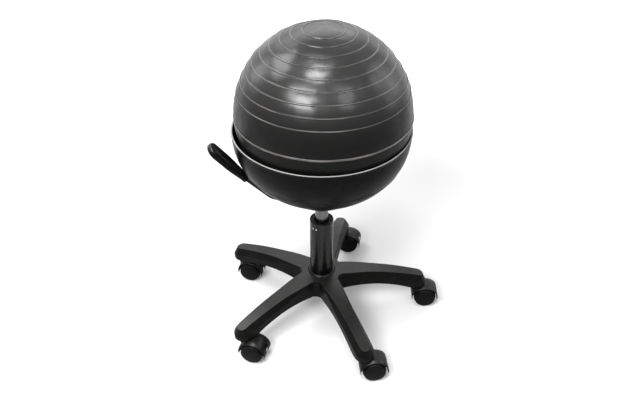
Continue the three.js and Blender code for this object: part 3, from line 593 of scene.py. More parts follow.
def swing(degrees: float, axis: str = "Z") -> Matrix:
    """A turn about an axis."""
    return Matrix.Rotation(math.radians(degrees), 4, axis)


def arc(centre: Point, radius: float, first: float, last: float, count: int) -> list[Point]:
    """Points on an arc, from a first to a last angle in degrees."""
    turns = [polar(radius, turn) for turn in steps(first, last, count)]
    return [(centre[0] + x, centre[1] + y) for x, y in turns]


def rod(radius: float, low: float, high: float) -> list[Point]:
    """The section of a plain rod between two heights."""
    return [(0.0, low), (radius, low), (radius, high), (0.0, high)]


def rounded(points: Sequence[Point], radius: float, count: int) -> list[Point]:
    """Rounds the inner corners of a line of points.

    Args:
        points: The line.
        radius: How far from a corner its rounding starts, at most.
        count: Steps in each rounding.

    Returns:
        The longer line.
    """
    most = 0.45
    line = [points[0]]
    for before, corner, after in zip(points, points[1:], points[2:]):
        here = Vector(corner)
        back, on = Vector(before) - here, Vector(after) - here
        reach = min(radius, back.length * most, on.length * most)
        start, end = here + back.normalized() * reach, here + on.normalized() * reach
        for share in steps(0, 1, count):
            line.append(tuple((start.lerp(here, share)).lerp(here.lerp(end, share), share)))
    return [*line, points[-1]]


class Shape:
    """A mesh in the making, in millimetres."""

    def __init__(self) -> None:
        """Starts with nothing."""
        self.bm = bmesh.new()

    @staticmethod
    def chain(
        part: bmesh.types.BMesh, points: Iterable[Sequence[float]], closed: bool = False
    ) -> tuple[list[bmesh.types.BMVert], list[bmesh.types.BMEdge]]:
        """Adds vertices joined by edges.

        Args:
            part: The mesh that they go to.
            points: Their places.
            closed: Whether the last one joins the first.

        Returns:
            The vertices and the edges.
        """
        verts = [part.verts.new(point) for point in points]
        pairs = zip(verts, verts[1:] + verts[:1] if closed else verts[1:])
        return verts, [part.edges.new(pair) for pair in pairs]

    def turn(
        self, profile: Sequence[Point], count: int = 96, matrix: Matrix | None = None
    ) -> Shape:
        """Spins a profile of radius and height round the vertical axis.

        Args:
            profile: The points. A profile that doesn't end on the axis at both ends is closed.
            count: Steps of the full turn.
            matrix: Where the turned form goes.

        Returns:
            This shape.
        """
        part = bmesh.new()
        capped = profile[0][0] == 0 and profile[-1][0] == 0
        line = [(radius, 0.0, height) for radius, height in profile]
        verts, edges = self.chain(part, line, closed=not capped)
        bmesh.ops.spin(
            part, geom=[*verts, *edges], cent=(0, 0, 0), axis=(0, 0, 1), dvec=(0, 0, 0),
            angle=TURN, steps=count, use_merge=True, use_normal_flip=False, use_duplicate=False,
        )
        return self.join(part, matrix)

    def loft(
        self, rows: Sequence[Sequence[Sequence[float]]], matrix: Matrix | None = None,
        caps: bool = True,
    ) -> Shape:
        """Extrudes a closed outline again and again, placing each new row.

        Args:
            rows: The rows, each with as many points as the first.
            matrix: Where the form goes.
            caps: Whether the two ends are filled.

        Returns:
            This shape.
        """
        part = bmesh.new()
        ring, edges = self.chain(part, rows[0], closed=True)
        first = edges
        for row in rows[1:]:
            made = bmesh.ops.extrude_edge_only(part, edges=edges)["geom"]
            fresh = {item for item in made if isinstance(item, bmesh.types.BMVert)}
            lines = [item for item in made if isinstance(item, bmesh.types.BMEdge)]
            edges = [line for line in lines if fresh.issuperset(line.verts)]
            ends = [[edge.other_vert(vert) for edge in vert.link_edges] for vert in ring]
            ring = [next(end for end in near if end in fresh) for near in ends]
            for vert, place in zip(ring, row):
                vert.co = place
        if caps:
            bmesh.ops.contextual_create(part, geom=first)
            bmesh.ops.contextual_create(part, geom=edges)
        return self.join(part, matrix)

    def join(self, part: bmesh.types.BMesh, matrix: Matrix | None = None) -> Shape:
        """Welds a part, turns its faces outwards, places it and takes it in.

        Args:
            part: The part. It is used up.
            matrix: Where it goes.

        Returns:
            This shape.
        """
        bmesh.ops.remove_doubles(part, verts=part.verts, dist=WELD)
        bmesh.ops.recalc_face_normals(part, faces=part.faces)
        if matrix is not None:
            bmesh.ops.transform(part, matrix=matrix, verts=part.verts)
        passing = bpy.data.meshes.new("passing")
        part.to_mesh(passing)
        part.free()
        self.bm.from_mesh(passing)
        bpy.data.meshes.remove(passing)
        return self

    def plate(
        self, outline: Sequence[Point], low: float, high: float, matrix: Matrix | None = None
    ) -> Shape:
        """Gives a flat outline a height, from low to high."""
        return self.loft([[(x, y, height) for x, y in outline] for height in (low, high)], matrix)

    def block(self, low: Place, high: Place, matrix: Matrix | None = None) -> Shape:
        """Adds a box between its lowest and its highest corner."""
        outline = [(low[0], low[1]), (high[0], low[1]), (high[0], high[1]), (low[0], high[1])]
        return self.plate(outline, low[2], high[2], matrix)

    def cut(self, cutter: Shape) -> Shape:
        """Cuts another shape from this one.

        Args:
            cutter: What is cut away. It is used up.

        Returns:
            This shape.
        """
        things = []
        for shape in (self, cutter):
            mesh = bpy.data.meshes.new("passing")
            shape.bm.to_mesh(mesh)
            shape.bm.free()
            things.append(bpy.data.objects.new("passing", mesh))
            bpy.context.scene.collection.objects.link(things[-1])
        made, tool = things
        modifier = made.modifiers.new("cut", "BOOLEAN")
        modifier.object = tool
        modifier.operation = "DIFFERENCE"
        modifier.solver = "EXACT"
        bpy.context.view_layer.update()
        self.bm = bmesh.new()
        self.bm.from_object(made, bpy.context.evaluated_depsgraph_get())
        for thing in things:
            mesh = thing.data
            bpy.data.objects.remove(thing)
            bpy.data.meshes.remove(mesh)
        return self

    def take(self, other: Shape) -> Shape:
        """Takes in another shape as it is, which uses it up."""
        return self.join(other.bm)

    def place(self, name: str) -> bpy.types.Object:
        """Makes the object, in metres, and puts it in the scene.

        Args:
            name: The object's name.

        Returns:
            The object.
        """
        bmesh.ops.scale(self.bm, vec=(MM, MM, MM), verts=self.bm.verts)
        mesh = bpy.data.meshes.new(name)
        self.bm.to_mesh(mesh)
        self.bm.free()
        made = bpy.data.objects.new(name, mesh)
        bpy.context.scene.collection.objects.link(made)
        return made

    def piece(
        self, name: str, body: str, look: Look, edges: Edges = Edges.CRISP,
        instead: Sequence[str] = (),
    ) -> bpy.types.Object:
        """Makes the finished object and hangs it on its body.

        Args:
            name: The piece's name.
            body: The CAD body that it rides on.
            look: Its finish.
            edges: How its edges are finished.
            instead: The CAD nodes that it stands for.

        Returns:
            The object.
        """
        made = self.place(name)
        width, count, least = edges.value
        for polygon in made.data.polygons:
            polygon.use_smooth = True
        if count:
            bevel = made.modifiers.new("edges", "BEVEL")
            bevel.width = width * MM
            bevel.segments = count
            bevel.limit_method = "ANGLE"
            bevel.angle_limit = math.radians(least)
            bevel.harden_normals = True
            bevel.use_clamp_overlap = True
        else:
            made.data.set_sharp_from_angle(angle=math.radians(least))
        made.data.materials.append(look.dress())
        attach(made, body)
        if instead:
            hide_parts(*instead)
        return made

    def stand_for(
        self, node: str, ending: str, body: str, look: Look, edges: Edges = Edges.CRISP
    ) -> bpy.types.Object:
        """Makes the finished object that stands for one CAD node and has its name in its own."""
        return self.piece(f"{node}_{ending}", body, look, edges, [node])


def softened(
    frame: dict, node: str, body: str, look: Look, trims: Iterable[tuple[Vector, Vector]]
) -> None:
    """Puts a trimmed copy with eased edges in the place of a CAD node.

    Args:
        frame: The loaded frame.
        node: The node.
        body: Its body.
        look: Its finish.
        trims: A point and an outward direction of each plane past which nothing stays.
    """
    shape = Shape()
    bm = shape.bm
    bm.from_mesh(frame["nodes"][node].data)
    bmesh.ops.remove_doubles(bm, verts=bm.verts, dist=MM * COARSE_WELD)
    flat = math.radians(1.0)
    bmesh.ops.dissolve_limit(
        bm, angle_limit=flat, verts=bm.verts, edges=bm.edges, use_dissolve_boundaries=False
    )
    bmesh.ops.scale(bm, vec=(1 / MM, 1 / MM, 1 / MM), verts=bm.verts)
    for point, outward in trims:
        everything = [*bm.verts, *bm.edges, *bm.faces]
        bmesh.ops.bisect_plane(
            bm, geom=everything, dist=WELD, plane_co=point, plane_no=outward, clear_outer=True
        )
        rims = [edge for edge in bm.edges if edge.is_boundary]
        bmesh.ops.holes_fill(bm, edges=rims, sides=0)
        bmesh.ops.recalc_face_normals(bm, faces=bm.faces)
    shape.stand_for(node, "eased", body, look, Edges.FINE)


def paint_node(frame: dict, node: str, look: Look) -> None:
    """Gives a CAD node that stays its finish.

    Args:
        frame: The loaded frame.
        node: The node.
        look: Its finish.
    """
    thing = frame["nodes"][node]
    thing.data.materials.clear()
    thing.data.materials.append(look.dress())
    for slot in thing.material_slots:
        slot.material = look.dress()


# Sub-assemblies


@dataclass
class Ball:
    """The inflated ball with its raised rings."""

    radius: float = 170.0
    centre_height: float = 513.0
    offset: float = 3.0
    wall: float = 2.5
    hole: float = 4.3
    first_ring: float = 13.2
    ring_pitch: float = 7.35
    rings: int = 9
    ring_height: float = 0.8
    ring_width: float = 1.15
    seam_angle: float = 90.0
    seam_height: float = 1.15
    seam_width: float = 2.1
    dip_depth: float = 0.22
    dip_width: float = 5.0
    dip_end: float = 15.0
    mark_from: float = 0.3
    mark_over: float = 0.5
    near_ring: tuple[float, ...] = (0.0, 0.5, 1.0, 1.4, 1.8, 2.3, 3.0, 4.2, 6.0)
    ring_clear: float = 6.5
    outer_steps: int = 110
    inner_steps: int = 40
    turns: int = 192
    wave_size: float = 42.0
    wave_depth: float = 1.3
    dapple_size: float = 16.0
    dapple_depth: float = 0.32
    dapple_shift: Place = (7.3, 1.9, 4.1)
    sink: float = 0.3
    still_foot: float = 2.0

    def ring_angles(self) -> list[float]:
        """Angles of the rings from the top pole, in degrees."""
        upper = [self.first_ring + self.ring_pitch * k for k in range(self.rings)]
        return [*upper, self.seam_angle, *[180.0 - angle for angle in reversed(upper)]]

    def lift(self, angle: float) -> float:
        """How far the skin stands out of the sphere.

        Args:
            angle: Degrees from the top pole.

        Returns:
            The height, in millimetres.
        """
        total = 0.0
        for ring in self.ring_angles():
            away = math.radians(angle - ring) * self.radius
            if abs(away) < self.dip_end:
                seam = ring == self.seam_angle
                width = self.seam_width if seam else self.ring_width
                height = self.seam_height if seam else self.ring_height
                dip = self.dip_depth * math.exp(-((away / self.dip_width) ** 2))
                total += (height + self.dip_depth) * math.exp(-((away / width) ** 4)) - dip
        return total

    def unevenness(self, place: Vector) -> float:
        """How far the skin stands out or in at a place, from slow waves and smaller dapples.

        Args:
            place: The place, from the ball's centre.

        Returns:
            The distance, in millimetres.
        """
        wave = noise.noise(place / self.wave_size) * self.wave_depth
        shifted = place / self.dapple_size + Vector(self.dapple_shift)
        return wave + noise.noise(shifted) * self.dapple_depth - self.sink

    def profile(self) -> list[Point]:
        """The skin from the top pole to the valve hole, and back along the inside.

        Returns:
            Points of radius and height, from the ball's centre.
        """
        foot = 180.0 - math.degrees(math.asin(self.hole / self.radius))
        angles = set(steps(0.0, foot, self.outer_steps))
        for ring in self.ring_angles():
            angles = {
                angle for angle in angles
                if abs(math.radians(angle - ring)) * self.radius > self.ring_clear
            }
            for away in self.near_ring:
                angles |= {ring + math.degrees(side * away / self.radius) for side in (-1, 1)}
        outer = [
            polar(self.radius + self.lift(angle), angle)[::-1]
            for angle in sorted(angles | {0.0, foot}) if 0.0 < angle <= foot
        ]
        inside = self.radius - self.wall
        bore = math.degrees(math.asin(self.hole / inside))
        inner = [
            polar(inside, angle)[::-1] for angle in steps(180.0 - bore, 0.0, self.inner_steps)[:-1]
        ]
        return [(0.0, self.radius), *outer, *inner, (0.0, inside)]

    def build(self) -> None:
        """Spins the skin, marks its rings and makes it uneven."""
        shape = Shape().turn(self.profile(), self.turns)
        mark = shape.bm.verts.layers.float.new(RING_MARK)
        low, over = self.ring_height * self.mark_from, self.ring_height * self.mark_over
        for vert in shape.bm.verts:
            proud = vert.co.length - self.radius
            if proud > -self.wall / 2 and vert.co.z > self.still_foot - self.radius:
                vert[mark] = held((proud - low) / over)
                vert.co += vert.co.normalized() * self.unevenness(vert.co)
        centre = (self.offset, 0, self.centre_height)
        bmesh.ops.translate(shape.bm, vec=centre, verts=shape.bm.verts)
        shape.stand_for("ball", "skin", "ball", Look.VINYL)
        LOG.info("ball: %d rings", len(self.ring_angles()))


@dataclass
class Flank:
    """The curve that the bowl and its lower cover share."""

    radius: float = 173.5
    waist: float = 476.7
    drop: float = 144.6
    fullness: float = 2.07
    curve_end: float = 361.0
    curve_steps: int = 40
    land_radius: float = 78.0
    land: float = 336.0
    land_round: float = 3.0
    least: float = 0.05

    def reach(self, height: float) -> float:
        """The outer radius at a height, in millimetres."""
        depth = max(0.0, (self.waist - height) / self.drop)
        return self.radius * (1 - depth**self.fullness) ** (1 / self.fullness)

    def line(self) -> list[Point]:
        """The outer line, from the waist down to the flat land.

        Returns:
            Points of radius and height.
        """
        heights = steps(self.waist, self.curve_end, self.curve_steps)
        curve = [(self.reach(height), height) for height in heights]
        return rounded([*curve, (self.land_radius, self.land)], self.land_round, 2)

    def inner(self, distance: float) -> list[Point]:
        """The same line moved inwards.

        Args:
            distance: How far.

        Returns:
            Points of radius and height.
        """
        line = self.line()
        moved = []
        for k, (radius, height) in enumerate(line):
            before, after = line[max(0, k - 1)], line[min(len(line) - 1, k + 1)]
            along = (Vector(after) - Vector(before)).normalized()
            moved.append((radius + along.y * distance, height - along.x * distance))
        return moved

    def stretch(self, line: Sequence[Point], high: float, low: float) -> list[Point]:
        """The part of a falling line between two heights.

        Args:
            line: The line.
            high: Where it starts.
            low: Where it ends.

        Returns:
            Its points, cut cleanly at both heights.
        """

        def radius_at(height: float) -> float:
            """The line's radius at a height.

            Args:
                height: The height.

            Returns:
                The radius.
            """
            past = (k for k, point in enumerate(line) if point[1] <= height)
            k = min(len(line) - 2, max(0, next(past, len(line) - 1) - 1))
            (r1, h1), (r2, h2) = line[k], line[k + 1]
            return r2 + (r1 - r2) * (height - h2) / (h1 - h2)

        middle = [point for point in line if low + self.least < point[1] < high - self.least]
        return [(radius_at(high), high), *middle, (radius_at(low), low)]


@dataclass
class Screw:
    """A cross-head screw that points down, the underside of its head at height zero."""

    head: float
    rise: float
    shank: float
    length: float
    look: Look = Look.ZINC
    point: float = 0.6
    seat_share: float = 0.94
    flat_share: float = 0.62
    skirt_share: float = 0.35
    slot_share: float = 0.5
    slot_half_share: float = 0.1
    slot_depth_share: float = 0.55
    slot_past: float = 1.0

    def build(self, node: str, body: str, at: Matrix) -> None:
        """Makes the screw in the place of its CAD node.

        Args:
            node: The CAD node.
            body: The body that it rides on.
            at: Its place.
        """
        flat, skirt = self.flat_share, self.skirt_share
        dome = [
            (self.head * (flat + (1 - flat) * x), self.rise * (skirt + (1 - skirt) * y))
            for x, y in arc((0.0, 0.0), 1.0, 0.0, 90.0, 6)
        ]
        profile = [
            (0.0, -self.length), (self.shank, self.point - self.length), (self.shank, 0.0),
            (self.head * self.seat_share, 0.0), *dome, (0.0, self.rise),
        ]
        shape = Shape().turn(profile, 32, at)
        arm, half = self.head * self.slot_share, self.head * self.slot_half_share
        low, high = self.rise * (1 - self.slot_depth_share), self.rise + self.slot_past
        for turn in (0, 90):
            shape.cut(Shape().block((-arm, -half, low), (arm, half, high), at @ swing(turn)))
        shape.stand_for(node, "cross_head", body, self.look)


@dataclass
class Bowl:
    """The bowl, its lower cover and the screws that hold them together."""

    flank: Flank = field(default_factory=Flank)
    rim: float = 483.5
    wall: float = 2.6
    bead: float = 1.9
    neck: tuple[Point, ...] = ((0.25, 2.4), (0.9, 1.7))
    soft: float = 0.5
    seam: float = 412.0
    seam_gap: float = 0.4
    shelf: float = 3.0
    floor_top: float = 341.94
    pad_radius: float = 40.0
    pad_height: float = 1.0
    drain: float = 12.0
    cradle: float = 76.0
    cradle_wall: float = 3.0
    cradle_top: float = 359.0
    brow: tuple[Point, ...] = ((0.1, 0.25), (0.5, 0.45), (0.65, 0.85), (0.45, 1.35))
    brow_end: float = 2.0
    brow_tuck: float = 0.7
    cover_hole: float = 30.0
    turns: int = 144
    screw_height: float = 369.0
    screw_turns: tuple[float, ...] = (-88.0, 2.0, 92.0, 182.0)

    def shell(self) -> list[Point]:
        """The bowl's section: round its rim, down the inside, back under the floor and up.

        Returns:
            Points of radius and height.
        """
        flank, wall, bead, soft = self.flank, self.wall, self.bead, self.soft
        under = wall + GAP
        floor_bottom, pad_top = flank.land + under, self.floor_top + self.pad_height
        ring, ring_top = self.cradle - self.cradle_wall, self.cradle_top
        rim = arc((flank.radius - wall + bead, self.rim - bead), bead, 0.0, 180.0, 12)
        neck = [(flank.radius + out, self.rim - down * bead) for out, down in self.neck]
        outer = flank.stretch(flank.line(), flank.waist, self.seam + soft)
        tucked = flank.stretch(flank.inner(under), self.seam, floor_bottom)
        floor = [
            (self.drain, floor_bottom), (self.drain, pad_top - soft), (self.drain + soft, pad_top),
            (self.pad_radius - soft, pad_top), (self.pad_radius, self.floor_top),
            (ring, self.floor_top), (ring, ring_top - soft), (ring + soft, ring_top),
            (self.cradle - soft, ring_top), (self.cradle, ring_top - soft),
            (self.cradle, self.floor_top),
        ]
        shelf = self.seam + self.shelf
        low = flank.stretch(flank.inner(under + wall), shelf, self.floor_top)
        high = flank.stretch(flank.inner(wall), flank.waist, shelf)
        lip = (outer[-1][0] - soft, self.seam)
        return [*rim[::-1], *high, *low, *floor[::-1], *tucked[::-1], lip, *outer[::-1], *neck]

    def cover(self) -> list[Point]:
        """The lower cover's section, from its brow down the outside and up the inside.

        Returns:
            Points of radius and height.
        """
        flank, hole = self.flank, self.cover_hole
        top, inside = self.seam - self.seam_gap, self.flank.land + self.wall
        skin = [(flank.reach(top - down) + proud, top - down) for proud, down in self.brow]
        skin += flank.stretch(flank.line(), top - self.brow_end, flank.land)
        lining = flank.stretch(flank.inner(self.wall), top, inside)
        edge = (skin[0][0] - self.brow_tuck, top)
        return [edge, *skin, (hole, flank.land), (hole, inside), *lining[::-1]]

    def build(self) -> None:
        """Spins the two shells and sets the screws."""
        shell = Shape().turn(self.shell(), self.turns)
        shell.stand_for("bowl", "shell", "seat", Look.BOWL)
        cover = Shape().turn(self.cover(), self.turns)
        cover.piece("cover_shell", "seat", Look.SHELL, instead=["bottom_cover"])
        self.fasten()
        LOG.info("bowl: two shells and %d screws", len(self.screw_turns))

    def fasten(self) -> None:
        """Sets the screws in the cover, square to its flank."""
        reach, height, span = self.flank.reach, self.screw_height, 2.0
        slope = (reach(height + span) - reach(height - span)) / (2 * span)
        square = Matrix.Rotation(QUARTER + math.atan(slope), 4, "Y")
        screw = Screw(head=4.2, rise=1.6, shank=1.9, length=10.0, look=Look.DARK_ZINC)
        for k, turn in enumerate(self.screw_turns):
            at = swing(turn) @ move(reach(height), 0, height) @ square @ move(0, 0, GAP)
            screw.build(f"cover_screw_{k + 1}", "seat", at)


@dataclass
class Mechanism:
    """Plate, bolts and bracket under the bowl."""

    lever_turn: float = 198.0
    bolts: int = 4
    bolt_circle: float = 58.0
    head_seat: float = 342.24
    bolt_tail: float = 326.7
    corner_margin: float = 8.5
    flange_line: tuple[Point, Point] = ((-6.0, 297.0), (62.0, 326.0))
    bracket_end: float = 46.0

    def bolt_turns(self) -> list[float]:
        """The bolts' directions: they lie at the plate's corners, and the lever between two."""
        return [self.lever_turn + 45 + 90 * k for k in range(self.bolts)]

    def build(self, frame: dict) -> None:
        """Eases the folded steel and sets the bolts.

        Args:
            frame: The loaded frame.
        """
        ways = [Vector((*polar(1.0, turn), 0)) for turn in self.bolt_turns()]
        corners = [(way * (self.bolt_circle + self.corner_margin), way) for way in ways]
        softened(frame, "seat_plate", "seat", Look.BLACK_STEEL, corners)
        out, up = Vector((*polar(1.0, self.lever_turn), 0)), Vector((0, 0, 1))
        start, end = (out * reach + up * height for reach, height in self.flange_line)
        away = (end - start).cross(out.cross(up)).normalized()
        trims = ((start, away if away.z < 0 else -away), (out * self.bracket_end, out))
        softened(frame, "mechanism_bracket", "seat", Look.BLACK_STEEL, trims)
        bolt = Screw(head=6.0, rise=3.4, shank=3.0, length=self.head_seat - self.bolt_tail)
        for k, turn in enumerate(self.bolt_turns()):
            at = move(*polar(self.bolt_circle, turn), self.head_seat)
            bolt.build(f"plate_bolt_{k + 1}", "seat", at)
        LOG.info("mechanism: plate, bracket and %d bolts", self.bolts)


@dataclass
class Lever:
    """The bent bar and its paddle, in the lever's own upright plane."""

    turn: float = 198.0
    pivot: Point = (-28.0, 319.0)
    path: tuple[Point, ...] = ((-12.0, 323.4), (66.0, 324.6), (86.0, 329.5), (108.0, 341.0))
    bend: float = 7.0
    width: float = 14.0
    thickness: float = 4.0
    thin_until: float = 64.0
    thick_half: float = 3.1
    eye: float = 7.0
    eye_inset: float = 0.05
    bar_in_grip: float = 45.0
    grip_start: Point = (154.0, 392.5)
    grip_end: Point = (220.1, 478.8)
    grip_width: float = 35.0
    grip_thickness: float = 14.2
    neck_width: float = 21.0
    neck_thickness: float = 11.6
    neck_round: float = 3.0
    swell_end: float = 0.55
    tip_round: float = 16.5
    tip_fullness: float = 0.45
    tip_least: float = 0.05
    least: float = 0.04
    squareness: float = 0.5
    lip: float = 0.5
    lip_level: float = -0.55
    lip_width: float = 0.16
    dish: float = 2.4
    dish_width: float = 0.82
    dish_fullness: float = 0.7
    screw_place: float = 20.0
    twist: float = 11.0

    def slope(self) -> float:
        """The paddle's angle above the level, in radians."""
        run = Vector(self.grip_end) - Vector(self.grip_start)
        return math.atan2(run.y, run.x)

    def on_grip(self) -> Matrix:
        """Places a piece drawn along X in the paddle."""
        tilt = Matrix.Rotation(-self.slope(), 4, "Y") @ swing(-self.twist, "X")
        return swing(self.turn) @ move(self.grip_start[0], 0, self.grip_start[1]) @ tilt

    def build(self) -> None:
        """Builds the bar, the paddle and its screw."""
        self.bar()
        self.paddle()
        seat = -self.grip_thickness / 2 - GAP
        at = self.on_grip() @ move(self.screw_place, 0, seat) @ swing(180, "X")
        screw = Screw(head=4.0, rise=2.0, shank=2.0, length=10.0, look=Look.DARK_ZINC)
        screw.build("lever_screw", "lever", at)
        LOG.info("lever: bar, paddle and screw")

    def bar(self) -> None:
        """Bends the flat steel along its path, thicker outside the bracket."""
        slope = self.slope()
        end = (
            self.grip_start[0] + self.bar_in_grip * math.cos(slope),
            self.grip_start[1] + self.bar_in_grip * math.sin(slope),
        )
        line = rounded([self.pivot, *self.path, self.grip_start, end], self.bend, 4)
        sides: list[list[Point]] = [[], []]
        for k, point in enumerate(line):
            along = Vector(line[min(k + 1, len(line) - 1)]) - Vector(line[max(k - 1, 0)])
            thick = self.thickness / 2 if point[0] < self.thin_until else self.thick_half
            across = Vector((-along.y, along.x)).normalized() * thick
            sides[0].append((point[0] + across.x, point[1] + across.y))
            sides[1].append((point[0] - across.x, point[1] - across.y))
        upright = swing(self.turn) @ swing(90, "X")
        half, inset = self.width / 2, self.width / 2 - self.eye_inset
        shape = Shape().plate([*sides[0], *sides[1][::-1]], -half, half, upright)
        shape.plate(arc(self.pivot, self.eye, 0.0, 345.0, 23), -inset, inset, upright)
        shape.stand_for("lever_bar", "bent", "lever", Look.BLACK_STEEL, Edges.FINE)

    def paddle(self) -> None:
        """Moulds the paddle: narrow neck, round tip, dished face and a thin lip round its back."""
        length = (Vector(self.grip_end) - Vector(self.grip_start)).length
        ends = [1 - math.cos(turn) for turn in steps(0.0, QUARTER, 10)]
        stations = [
            *[self.neck_round * share for share in ends],
            *steps(self.neck_round, length - self.tip_round, 24)[1:-1],
            *[length - self.tip_round * share for share in reversed(ends)],
        ]
        rows = [self.paddle_row(along, length) for along in stations]
        shape = Shape().loft(rows, self.on_grip())
        shape.piece("lever_paddle", "lever", Look.SHELL, instead=["lever_grip"])

    def paddle_row(self, along: float, length: float) -> list[Place]:
        """A section of the paddle.

        Args:
            along: How far it is from the neck's end.
            length: The paddle's length.

        Returns:
            Its points, with the thickness in Z.
        """
        tip, neck, share = self.grip_width / 2, self.neck_width / 2, along / length
        half = neck + (tip - neck) * eased(min(1.0, share / self.swell_end))
        thick = (self.neck_thickness + (self.grip_thickness - self.neck_thickness) * share) / 2
        if along > length - tip:
            half = math.sqrt(max(self.least, tip * tip - (along - length + tip) ** 2))
            thick *= max(self.tip_least, half / tip) ** self.tip_fullness
        if along < self.neck_round:
            close = math.sqrt(max(self.least, 1 - (1 - along / self.neck_round) ** 2))
            shrink = self.neck_round * close - self.neck_round
            half, thick = half + shrink, thick + shrink
        dish = self.dish * math.sin(math.pi * min(1.0, share)) ** self.dish_fullness
        points = []
        for turn in steps(0.0, TURN, 56)[:-1]:
            across, up = math.cos(turn), math.sin(turn)
            y = math.copysign(abs(across) ** self.squareness, across) * half
            z = math.copysign(abs(up) ** self.squareness, up) * thick
            lip = self.lip * math.exp(-(((up - self.lip_level) / self.lip_width) ** 2))
            lip *= min(1.0, half / tip)
            if up > 0:
                z -= dish * max(0.0, 1 - (y / (half * self.dish_width)) ** 2)
            points.append((along, y + math.copysign(lip, y), z))
        return points


@dataclass
class GasLift:
    """The outer tube, its sleeve and the cylinder that slides in it."""

    tube: float = 25.0
    tube_top: float = 256.5
    tube_wall: float = 1.6
    tube_foot: float = 65.0
    foot_radius: float = 23.6
    foot_wall: float = 2.4
    taper_top: float = 120.0
    rod: float = 5.0
    sleeve_length: float = 60.0
    recess: float = 1.5
    cylinder: float = 14.0
    cylinder_foot: float = 115.0
    cylinder_top: float = 317.0
    cylinder_wall: float = 2.0
    cylinder_edge: float = 1.0
    cylinder_floor: float = 8.0
    mouth_depth: float = 14.0
    taper: float = 0.9
    button: float = 3.9
    socket_foot: float = 289.0
    socket_top: float = 315.0
    socket: float = 19.0
    edge: float = 0.8
    fine_edge: float = 0.6
    stake_turns: tuple[float, ...] = (-137.0, -117.5, -17.0, 63.0)
    stake_height: float = 243.0
    stake_radius: float = 1.9
    stake_rise: float = 0.65
    stake_foot: float = 0.3
    stake_sink: float = 0.25

    def build(self, frame: dict) -> None:
        """Spins the parts of the column and finishes the hidden ones.

        Args:
            frame: The loaded frame.
        """
        tube = Shape().turn(self.tube_line(), 128)
        tube.stand_for("outer_tube", "plated", "base", Look.TUBE)
        self.stakes()
        sleeve = Shape().turn(self.sleeve_line(), 96)
        sleeve.stand_for("guide_sleeve", "moulded", "base", Look.SLEEVE)
        cylinder = Shape().turn(self.cylinder_line(), 96)
        cylinder.stand_for("inner_cylinder", "ground", "seat", Look.BRIGHT)
        socket = Shape().turn(self.socket_line(), 72)
        socket.stand_for("taper_socket", "turned", "seat", Look.BLACK_STEEL)
        for node in ("release_button", "thrust_bearing", "rod_clip", "lever_pin", "pin_clip"):
            paint_node(frame, node, Look.ZINC)
        paint_node(frame, "piston_rod", Look.BRIGHT)
        paint_node(frame, "ball_plug", Look.PLUG)
        LOG.info("gas lift: tube, sleeve, cylinder and socket")

    def tube_line(self) -> list[Point]:
        """The tube's section: foot, taper, rolled mouth and bore.

        Returns:
            Points of radius and height.
        """
        half, hole, foot = self.tube_wall / 2, self.rod + GAP, self.tube_foot
        floor = foot + self.foot_wall
        return [
            (hole, foot), (self.foot_radius - self.edge, foot),
            (self.foot_radius, foot + self.edge), (self.tube, self.taper_top),
            *arc((self.tube - half, self.tube_top - half), half, 0, 180, 8),
            (self.tube - self.tube_wall, self.taper_top),
            (self.foot_radius - self.tube_wall, floor), (hole, floor),
        ]

    def sleeve_line(self) -> list[Point]:
        """The sleeve's section, a little below the tube's mouth.

        Returns:
            Points of radius and height.
        """
        top = self.tube_top - self.recess
        foot = top - self.sleeve_length
        inner, outer = self.cylinder + GAP, self.tube - self.tube_wall - GAP
        return [
            (inner, foot), (outer, foot), (outer, top - self.fine_edge),
            (outer - self.fine_edge, top), (inner + self.recess, top), (inner, top - self.recess),
        ]

    def cylinder_line(self) -> list[Point]:
        """The cylinder's section, hollow, with a hole for its rod and one for its button.

        Returns:
            Points of radius and height.
        """
        hole, mouth, radius = self.rod + GAP, self.button + GAP, self.cylinder
        foot, top, slim = self.cylinder_foot, self.cylinder_top, self.cylinder - self.taper
        inside, floor = radius - self.cylinder_wall, foot + self.cylinder_floor
        roof, edge = top - self.mouth_depth, self.cylinder_edge
        return [
            (hole, foot), (radius - edge, foot), (radius, foot + edge), (radius, self.socket_foot),
            (slim, top - self.fine_edge), (slim - self.fine_edge, top), (mouth, top),
            (mouth, roof), (inside, roof), (inside, floor), (hole, floor),
        ]

    def socket_line(self) -> list[Point]:
        """The section of the socket that grips the cylinder's taper.

        Returns:
            Points of radius and height.
        """
        foot, top, edge = self.socket_foot, self.socket_top, self.edge
        return [
            (self.cylinder + GAP, foot), (self.socket - edge, foot), (self.socket, foot + edge),
            (self.socket, top - edge), (self.socket - edge, top),
            (self.cylinder - self.taper + GAP, top),
        ]

    def stakes(self) -> None:
        """Puts the small round stakes that hold the sleeve on the tube."""
        shape = Shape()
        radius, rise = self.stake_radius, self.stake_rise
        dome = [(radius * x, rise * y) for x, y in arc((0.0, 0.0), 1.0, 0.0, 90.0, 6)]
        foot = -self.stake_foot
        profile = [(0.0, foot), (radius, foot), *dome[:-1], (0.0, rise)]
        for turn in self.stake_turns:
            out = move(self.tube - self.stake_sink, 0, self.stake_height)
            shape.turn(profile, 24, swing(turn) @ out @ swing(90, "Y"))
        shape.piece("sleeve_stakes", "base", Look.ZINC)


